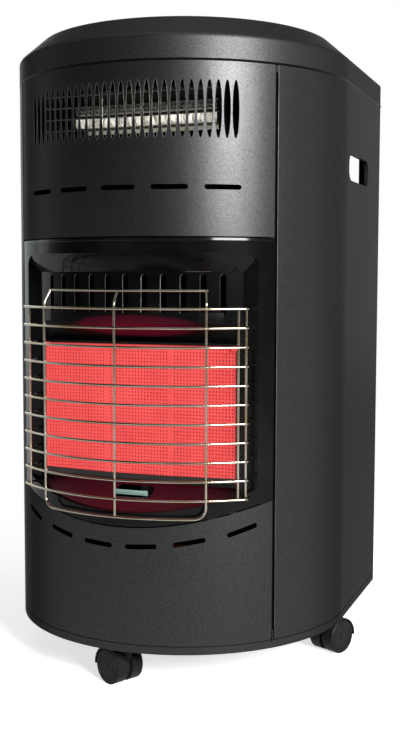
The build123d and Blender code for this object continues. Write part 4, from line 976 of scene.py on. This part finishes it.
def tube_holders(material: Material) -> None:
    """Dark holders at both ends of the quartz tubes, each with two studs."""
    front, low, high = -147.0, 636.5, 667.0
    stud_half, stud_inset = 2.2, 8.4
    boxes = []
    for start, end in ((-104.0, -84.0), (93.5, 104.0)):
        boxes.append((mm_point(start, front, low), mm_point(end, -124.0, high), 1.2 * MM))
        middle = (start + end) / 2
        for z in (low + stud_inset, high - stud_inset):
            near = mm_point(middle - stud_half, front - 1.2, z - stud_half)
            far = mm_point(middle + stud_half, front + 1.0, z + stud_half)
            boxes.append((near, far, 0.9 * MM))
    blocks("tube_holders", boxes, material)


@dataclass
class CastorFaces:
    """Raised ring and hub cap on the outer face of each castor wheel."""

    material: Material
    width: float = 37.2 * MM
    ring: float = 15.6 * MM
    ring_half: float = 0.55 * MM
    hub: float = 3.8 * MM
    height: float = 0.4 * MM
    sunk: float = -0.2 * MM

    def face(self, castor: str, side: str, centre: Vector, axis: Vector) -> None:
        """Builds the ring and cap of one wheel.

        Args:
            castor: Where the castor stands.
            side: Which of the twin wheels.
            centre: Middle of the wheel's outer face.
            axis: Outward direction.
        """
        body = bmesh.new()
        ring = (
            (self.ring - self.ring_half, self.sunk),
            (self.ring - self.ring_half * 0.6, self.height),
            (self.ring + self.ring_half * 0.6, self.height),
            (self.ring + self.ring_half, self.sunk),
        )
        cap = (
            (self.hub, self.sunk),
            (self.hub, self.height),
            (self.hub * 0.8, self.height * 1.3),
            (self.hub * 0.4, self.height * 1.5),
            (0.2 * MM, self.height * 1.55),
        )
        revolve(body, ring, centre, axis)
        revolve(body, cap, centre, axis)
        piece = close_mesh(f"castor_face_{castor}_{side}", body, self.material)
        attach(piece, f"wheel_{castor}_{side}")

    def build(self) -> None:
        """Builds the faces of all the wheels."""
        for castor in ("front", "right", "left", "rear"):
            middles = []
            for side in ("a", "b"):
                low, high = (Vector(corner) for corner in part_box(f"caster_wheel_{castor}_{side}"))
                middles.append((low + high) / 2)
            hub = (middles[0] + middles[1]) / 2
            axis = (middles[0] - middles[1]).normalized()
            self.face(castor, "a", hub + axis * (self.width / 2), axis)
            self.face(castor, "b", hub - axis * (self.width / 2), -axis)


@dataclass
class FaciaMarks:
    """Painted ticks round the tap's knob."""

    paint: Material
    centre: tuple[float, float] = (-56.0 * MM, 138.3 * MM)
    radius: float = 24.5 * MM
    count: int = 7
    sweep_deg: float = 180.0
    tick: tuple[float, float, float] = (3.2 * MM, 0.8 * MM, 0.12 * MM)

    def places(self) -> list[Vector]:
        """Middle of each tick."""
        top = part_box("control_facia")[1][2]
        places = []
        for index in range(self.count):
            turn = math.radians(self.sweep_deg * index / (self.count - 1))
            x = self.centre[0] + self.radius * math.cos(turn)
            y = self.centre[1] + self.radius * math.sin(turn)
            places.append(Vector((x, y, top + self.tick[2] / 2)))
        return places

    def build(self) -> None:
        """Builds the ticks as one piece of instances."""
        length, width, height = self.tick
        values = {
            "Length": length,
            "Width": width,
            "Height": height,
            "Centre X": self.centre[0],
            "Centre Y": self.centre[1],
            "Paint": self.paint,
        }
        shaper = Shaper("facia_ticks", values)
        given = shaper.given
        sides = {0: given["Length"], 1: given["Width"], 2: given["Height"]}
        size = shaper.add("ShaderNodeCombineXYZ", sides)
        bar = shaper.add("GeometryNodeMeshCube", {"Size": (size, 0)})
        middle = shaper.add("ShaderNodeCombineXYZ", {0: given["Centre X"], 1: given["Centre Y"]})
        place = shaper.add("GeometryNodeInputPosition")
        ends = {0: (place, 0), 1: (middle, 0)}
        reach = shaper.add("ShaderNodeVectorMath", ends, operation="SUBTRACT")
        flat = {0: (reach, 0), 1: (1.0, 1.0, 0.0)}
        level = shaper.add("ShaderNodeVectorMath", flat, operation="MULTIPLY")
        turn = shaper.add("FunctionNodeAlignRotationToVector", {"Vector": (level, 0)}, axis="X")
        spread = {"Points": given["Geometry"], "Instance": (bar, "Mesh")}
        spread["Rotation"] = (turn, "Rotation")
        scatter = shaper.add("GeometryNodeInstanceOnPoints", spread)
        shape = shaper.cover((scatter, "Instances"), "Paint")
        points = points_mesh("facia_tick_points", self.places())
        on_cabinet(shaper.run("facia_ticks", shape, points))


@dataclass
class SeamShade:
    """Black strip in the seams between the front and the side panels: painted shade of the seams."""

    material: Material
    radius: float = 207.65 * MM
    seam_x: float = 158.0 * MM
    width: float = 1.5 * MM
    depth: float = 0.5 * MM
    low: float = 52.0 * MM
    high: float = 697.0 * MM

    def build(self) -> None:
        """Builds both strips as one piece."""
        body = bmesh.new()
        half = self.width / 2 / self.radius
        back = self.radius - self.depth
        for side in (-1, 1):
            middle = side * math.asin(self.seam_x / self.radius)
            plan = (
                (middle - half, back),
                (middle - half * 0.7, self.radius),
                (middle + half * 0.7, self.radius),
                (middle + half, back),
            )
            heights = (self.low, self.high)
            stitch(body, [[on_front(turn, radius, z) for turn, radius in plan] for z in heights])
        close_mesh("seam_shade", body, self.material)


@dataclass
class SeamEdgeHighlights:
    """Fine rolled edge of each side panel beside its seam with the front, in a lighter metal than the
    coat as a painted highlight.
    """

    material: Material
    radius: float = 207.35 * MM
    seam_x: float = 160.1 * MM
    bead: float = 0.3 * MM
    low: float = 70.0 * MM
    high: float = 696.5 * MM
    sides: int = 10

    def build(self) -> None:
        """Builds both edges as one piece."""
        body = bmesh.new()
        turns = [math.tau * index / self.sides for index in range(self.sides)]
        section = [Vector((math.cos(turn), math.sin(turn), 0.0)) * self.bead for turn in turns]
        for side in (-1, 1):
            angle = side * math.asin(self.seam_x / self.radius)
            middles = [on_front(angle, self.radius, z) for z in (self.low, self.high)]
            stitch(body, [[middle + point for point in section] for middle in middles])
        close_mesh("seam_edge_highlights", body, self.material)


@dataclass
class LidShadeStrip:
    """Black strip in the joint under the lid, round the front and along both sides: painted shade of
    the shadow line under the lid.
    """

    material: Material
    rear: float = 193.6 * MM
    low: float = 696.9 * MM
    high: float = 699.7 * MM
    proud: float = 0.12 * MM
    sunk: float = 0.5 * MM
    chamfer: float = 0.12 * MM
    steps: int = 96

    def build(self) -> None:
        """Builds the strip as one piece."""
        path = [(Vector((-BODY_RADIUS, self.rear, 0.0)), Vector((-1.0, 0.0, 0.0)))]
        for index in range(self.steps + 1):
            turn = math.pi * (index / self.steps - 0.5)
            path.append((on_front(turn, BODY_RADIUS, 0.0), on_front(turn, 1.0, 0.0, 0.0)))
        path.append((Vector((BODY_RADIUS, self.rear, 0.0)), Vector((1.0, 0.0, 0.0))))
        section = (
            (-self.sunk, self.low),
            (0.0, self.low),
            (self.proud, self.low + self.chamfer),
            (self.proud, self.high - self.chamfer),
            (-self.sunk, self.high),
        )
        rings = []
        for place, outward in path:
            rings.append([place + outward * reach + Vector((0.0, 0.0, z)) for reach, z in section])
        body = bmesh.new()
        stitch(body, rings)
        close_mesh("lid_shade_strip", body, self.material)


@dataclass
class EdgeGlints:
    """Fine light metal lines along the outer cut edges of a node's slots: painted glints of the edges
    catching the key light.
    """

    material: Material
    node: str
    low: float
    high: float
    left_only: bool = False
    radius: float = 0.14 * MM
    least_deg: float = 40.0
    weld: float = 0.02 * MM

    def shows(self, edge: bmesh.types.BMEdge) -> bool:
        """Tells whether an edge is an outer cut edge between the two heights."""
        if len(edge.link_faces) != 2 or math.degrees(edge.calc_face_angle(0.0)) < self.least_deg:
            return False
        if not all(self.low < corner.co.z < self.high for corner in edge.verts):
            return False
        first = edge.verts[0].co
        outward = Vector((first.x, first.y, 0.0)).normalized()
        wall, skin = sorted(edge.link_faces, key=lambda face: face.normal.dot(outward))
        if skin.normal.dot(outward) < 0.8 or wall.normal.dot(outward) < -0.5:
            return False
        # With left_only, only edges whose wall faces the key light on the right keep their painted
        # glint.
        return not self.left_only or wall.normal.x >= 0.2

    def host(self, piece: bpy.types.Object) -> bpy.types.Mesh:
        """Collects the outer cut edges of the node between two heights.

        Args:
            piece: The CAD object.

        Returns:
            Mesh of loose edges.
        """
        body = bmesh.new()
        body.from_mesh(piece.data)
        body.transform(piece.matrix_world)
        bmesh.ops.remove_doubles(body, verts=body.verts[:], dist=self.weld)
        kept = [edge for edge in body.edges if self.shows(edge)]
        points = [tuple(corner.co) for edge in kept for corner in edge.verts]
        body.free()
        mesh = bpy.data.meshes.new(f"{self.node}_edges")
        mesh.from_pydata(points, [(start, start + 1) for start in range(0, len(points), 2)], [])
        LOG.info("cut edges of %s: %d", self.node, len(mesh.edges))
        return mesh

    def build(self, piece: bpy.types.Object) -> None:
        """Builds the lines as one piece."""
        values = {"Radius": self.radius, "Sides": 6, "Join": 0.05 * MM, "Metal": self.material}
        shaper = Shaper("edge_glint_lines", values)
        given = shaper.given
        joined = {"Geometry": given["Geometry"], "Distance": given["Join"]}
        merge = shaper.add("GeometryNodeMergeByDistance", joined)
        curve = shaper.add("GeometryNodeMeshToCurve", {"Mesh": (merge, "Geometry")})
        circle = {"Radius": given["Radius"], "Resolution": given["Sides"]}
        ring = shaper.add("GeometryNodeCurvePrimitiveCircle", circle)
        swept = {"Curve": (curve, "Curve"), "Profile Curve": (ring, "Curve")}
        shape = shaper.cover((shaper.add("GeometryNodeCurveToMesh", swept), "Mesh"), "Metal")
        made = shaper.run(f"{self.node}_edge_glints", shape, self.host(piece))
        shade_smooth(made.data)
        on_cabinet(made)


@dataclass(frozen=True)
class Lamp:
    """Soft rectangular lamp: where it stands, what it faces, its size in metres and its watts."""

    name: str
    place: tuple[float, float, float]
    aim: tuple[float, float, float]
    size: tuple[float, float]
    power: float
    colour: tuple[float, float, float] = (1.0, 0.965, 0.95)

    def build(self) -> None:
        """Adds the lamp."""
        data = bpy.data.lights.new(self.name, "AREA")
        data.shape = "RECTANGLE"
        data.size, data.size_y = self.size
        data.energy = self.power
        data.color = self.colour
        holder = link(self.name, data)
        holder.location = self.place
        aim = Vector(self.aim) - Vector(self.place)
        holder.rotation_euler = aim.to_track_quat("-Z", "Y").to_euler()


MIDDLE = (0.0, 0.0, 0.4)
LAMPS = (
    Lamp("key", (1.62, -1.38, 1.2), (0.15, -0.15, 0.75), (0.85, 0.95), 122.0),
    Lamp("side", (1.1, 2.3, 0.9), MIDDLE, (1.6, 1.6), 5.0),
    Lamp("top", (0.2, -0.4, 2.6), MIDDLE, (1.8, 1.4), 10.0),
    Lamp("rear", (-1.6, 1.8, 1.1), MIDDLE, (1.2, 1.2), 9.0),
    Lamp("fill", (2.1, 0.5, 0.8), MIDDLE, (1.0, 1.6), 4.0),
    Lamp("left", (-2.2, -0.1, 0.8), MIDDLE, (0.5, 1.6), 2.0),
)


@dataclass
class Studio:
    """Pale floor, soft lamps and the camera of the photograph."""

    camera_place: tuple[float, float, float] = (0.5047, -1.2827, 0.461)
    heading: tuple[float, float] = (-0.354, 0.935)
    pitch_deg: float = 4.64
    roll: float = 0.0024
    lens_mm: float = 52.5
    sensor_mm: float = 36.0
    floor_half: float = 6.0
    floor_lift: float = 0.7
    fade: tuple[float, float] = (0.3, 0.9)
    sky_tint: tuple[float, float, float] = (0.74, 1.0, 1.0)
    gloss_tint: tuple[float, float, float] = (0.93, 0.99, 1.0)
    ambient: float = 0.058
    studio: float = 0.022
    floor_gloss: float = 0.55
    floor_bounce: str = "6a6a6a"

    def camera(self) -> None:
        """Places the camera."""
        data = bpy.data.cameras.new("camera")
        data.lens = self.lens_mm
        data.sensor_width = self.sensor_mm
        data.sensor_fit = "AUTO"
        pitch = math.radians(self.pitch_deg)
        level = math.cos(pitch)
        aim = Vector((self.heading[0] * level, self.heading[1] * level, -math.sin(pitch)))
        turn = aim.to_track_quat("-Z", "Y").to_matrix().to_4x4()
        roll = Matrix.Rotation(self.roll, 4, "Z")
        holder = link("camera", data)
        holder.matrix_world = Matrix.Translation(self.camera_place) @ turn @ roll
        bpy.context.scene.camera = holder

    def seen(self, tree: Tree, gloss: float = 1.0) -> Pin:
        """Adds a value that is one for camera and transmission rays.

        Args:
            tree: Tree that gets the nodes.
            gloss: Value for glossy rays.

        Returns:
            Pin that gives the value.
        """
        path = tree.add("ShaderNodeLightPath")
        dim = tree.add("ShaderNodeMath", {0: (path, "Is Glossy Ray"), 1: gloss}, operation="MULTIPLY")
        first = {0: (path, "Is Camera Ray"), 1: (dim, 0)}
        either = tree.add("ShaderNodeMath", first, operation="MAXIMUM")
        last = {0: (either, 0), 1: (path, "Is Transmission Ray")}
        return tree.add("ShaderNodeMath", last, operation="MAXIMUM"), 0

    def world(self) -> None:
        """White where the backdrop is seen, dim studio for light and for what faces the camera."""
        world = bpy.data.worlds.new("studio")
        bpy.context.scene.world = world
        world.use_nodes = True
        world.node_tree.nodes.clear()
        tree = Tree(world.node_tree)
        camera = (tree.add("ShaderNodeLightPath"), "Is Camera Ray")
        ahead = {0: (tree.add("ShaderNodeTexCoord"), "Generated"), 1: (*self.heading, 0.0)}
        facing = tree.add("ShaderNodeVectorMath", ahead, operation="DOT_PRODUCT")
        limits = {"From Min": -0.1, "From Max": 0.5, "To Min": self.studio, "To Max": 1.0}
        spread = tree.add("ShaderNodeMapRange", {"Value": (facing, "Value"), **limits})
        white = tree.add("ShaderNodeMath", {0: (spread, "Result"), 1: camera}, operation="MAXIMUM")
        tints = {"Factor": camera, "A": (*self.gloss_tint, 1.0), "B": WHITE}
        tint = tree.add("ShaderNodeMix", tints, data_type="RGBA")
        view = tree.add("ShaderNodeBackground", {"Strength": (white, 0), "Color": (tint, "Result")})
        sky = {"Color": (*self.sky_tint, 1.0), "Strength": self.ambient}
        light = tree.add("ShaderNodeBackground", sky)
        both = {"Fac": self.seen(tree), 1: (light, "Background"), 2: (view, "Background")}
        mix = tree.add("ShaderNodeMixShader", both)
        tree.add("ShaderNodeOutputWorld", {"Surface": (mix, "Shader")})

    def floor(self) -> None:
        """Adds the pale floor: shaded near the object, plain white further off."""
        mesh = bpy.data.meshes.new("floor")
        half = self.floor_half
        corners = [(-half, -half, 0.0), (half, -half, 0.0), (half, half, 0.0), (-half, half, 0.0)]
        mesh.from_pydata(corners, [], [(0, 1, 2, 3)])
        piece = link("floor", mesh)
        paper = Surface("floor_paper")
        cloud = paper.add("ShaderNodeTexNoise", paper.grain(400.0, 2.0))
        tones = ((0.2, "ececec"), (0.8, "f4f4f4"))
        tint = paper.add("ShaderNodeValToRGB", {"Fac": (cloud, "Fac")}, tones)
        seen = self.seen(paper, self.floor_gloss)
        mixed = {"Factor": seen, "A": linear(self.floor_bounce), "B": (tint, "Color")}
        tone = paper.add("ShaderNodeMix", mixed, data_type="RGBA")
        lift = paper.add("ShaderNodeMath", {0: seen, 1: self.floor_lift}, operation="MULTIPLY")
        length = paper.add("ShaderNodeVectorMath", {0: paper.place}, operation="LENGTH")
        near, far = self.fade
        reach = {"Value": (length, "Value"), "From Min": near, "From Max": far}
        fade = paper.add("ShaderNodeMapRange", reach, interpolation_type="SMOOTHSTEP")
        share = paper.add("ShaderNodeMath", {0: (fade, "Result"), 1: seen}, operation="MULTIPLY")
        white = paper.add("ShaderNodeEmission", {"Color": WHITE, "Strength": 1.0})
        both = {"Fac": (share, 0), 1: (paper.shader, "BSDF"), 2: (white, "Emission")}
        mix = paper.add("ShaderNodeMixShader", both)
        paper.feed(paper.output, {"Surface": (mix, "Shader")})
        glow = {"Emission Color": WHITE, "Emission Strength": (lift, 0)}
        matt = {"Base Color": (tone, "Result"), "Roughness": 0.95, "Specular IOR Level": 0.0}
        paper.feed(paper.shader, {**glow, **matt})
        mesh.materials.append(paper.material)

    def build(self) -> None:
        """Builds the whole studio."""
        self.camera()
        for lamp in LAMPS:
            lamp.build()
        self.world()
        self.floor()
        bpy.context.scene.view_settings.view_transform = "Standard"


def main() -> None:
    """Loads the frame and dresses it."""
    logging.basicConfig(level=logging.INFO, format="%(message)s")
    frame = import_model()
    materials = {key: finish.build() for key, finish in FINISHES.items()}
    nodes = frame["nodes"]
    dress(nodes, materials)
    Plaques(materials["plaque"], materials["plaque_hole"]).build()
    WireWelds(materials["chrome"]).build()
    for bow in BOWS:
        bow.build(materials[bow.finish])
    plaque_clips(materials["plaque"])
    pilot_strip(materials["pilot"])
    tube_holders(materials["inside"])
    CastorFaces(materials["black"]).build()
    FaciaMarks(materials["paint"]).build()
    SeamShade(materials["inside"]).build()
    LidShadeStrip(materials["inside"]).build()
    SeamEdgeHighlights(materials["worn"]).build()
    # Painted glints along the cut edges of the louvres and of the surround's slots.
    louvres = EdgeGlints(materials["worn"], "upper_front_panel", 0.61, 0.69)
    louvres.build(nodes["upper_front_panel"])
    vents = EdgeGlints(materials["edge"], "front_bezel", 0.42, 0.475, left_only=True)
    vents.build(nodes["front_bezel"])
    Studio().build()


if __name__ == "__main__":
    main()
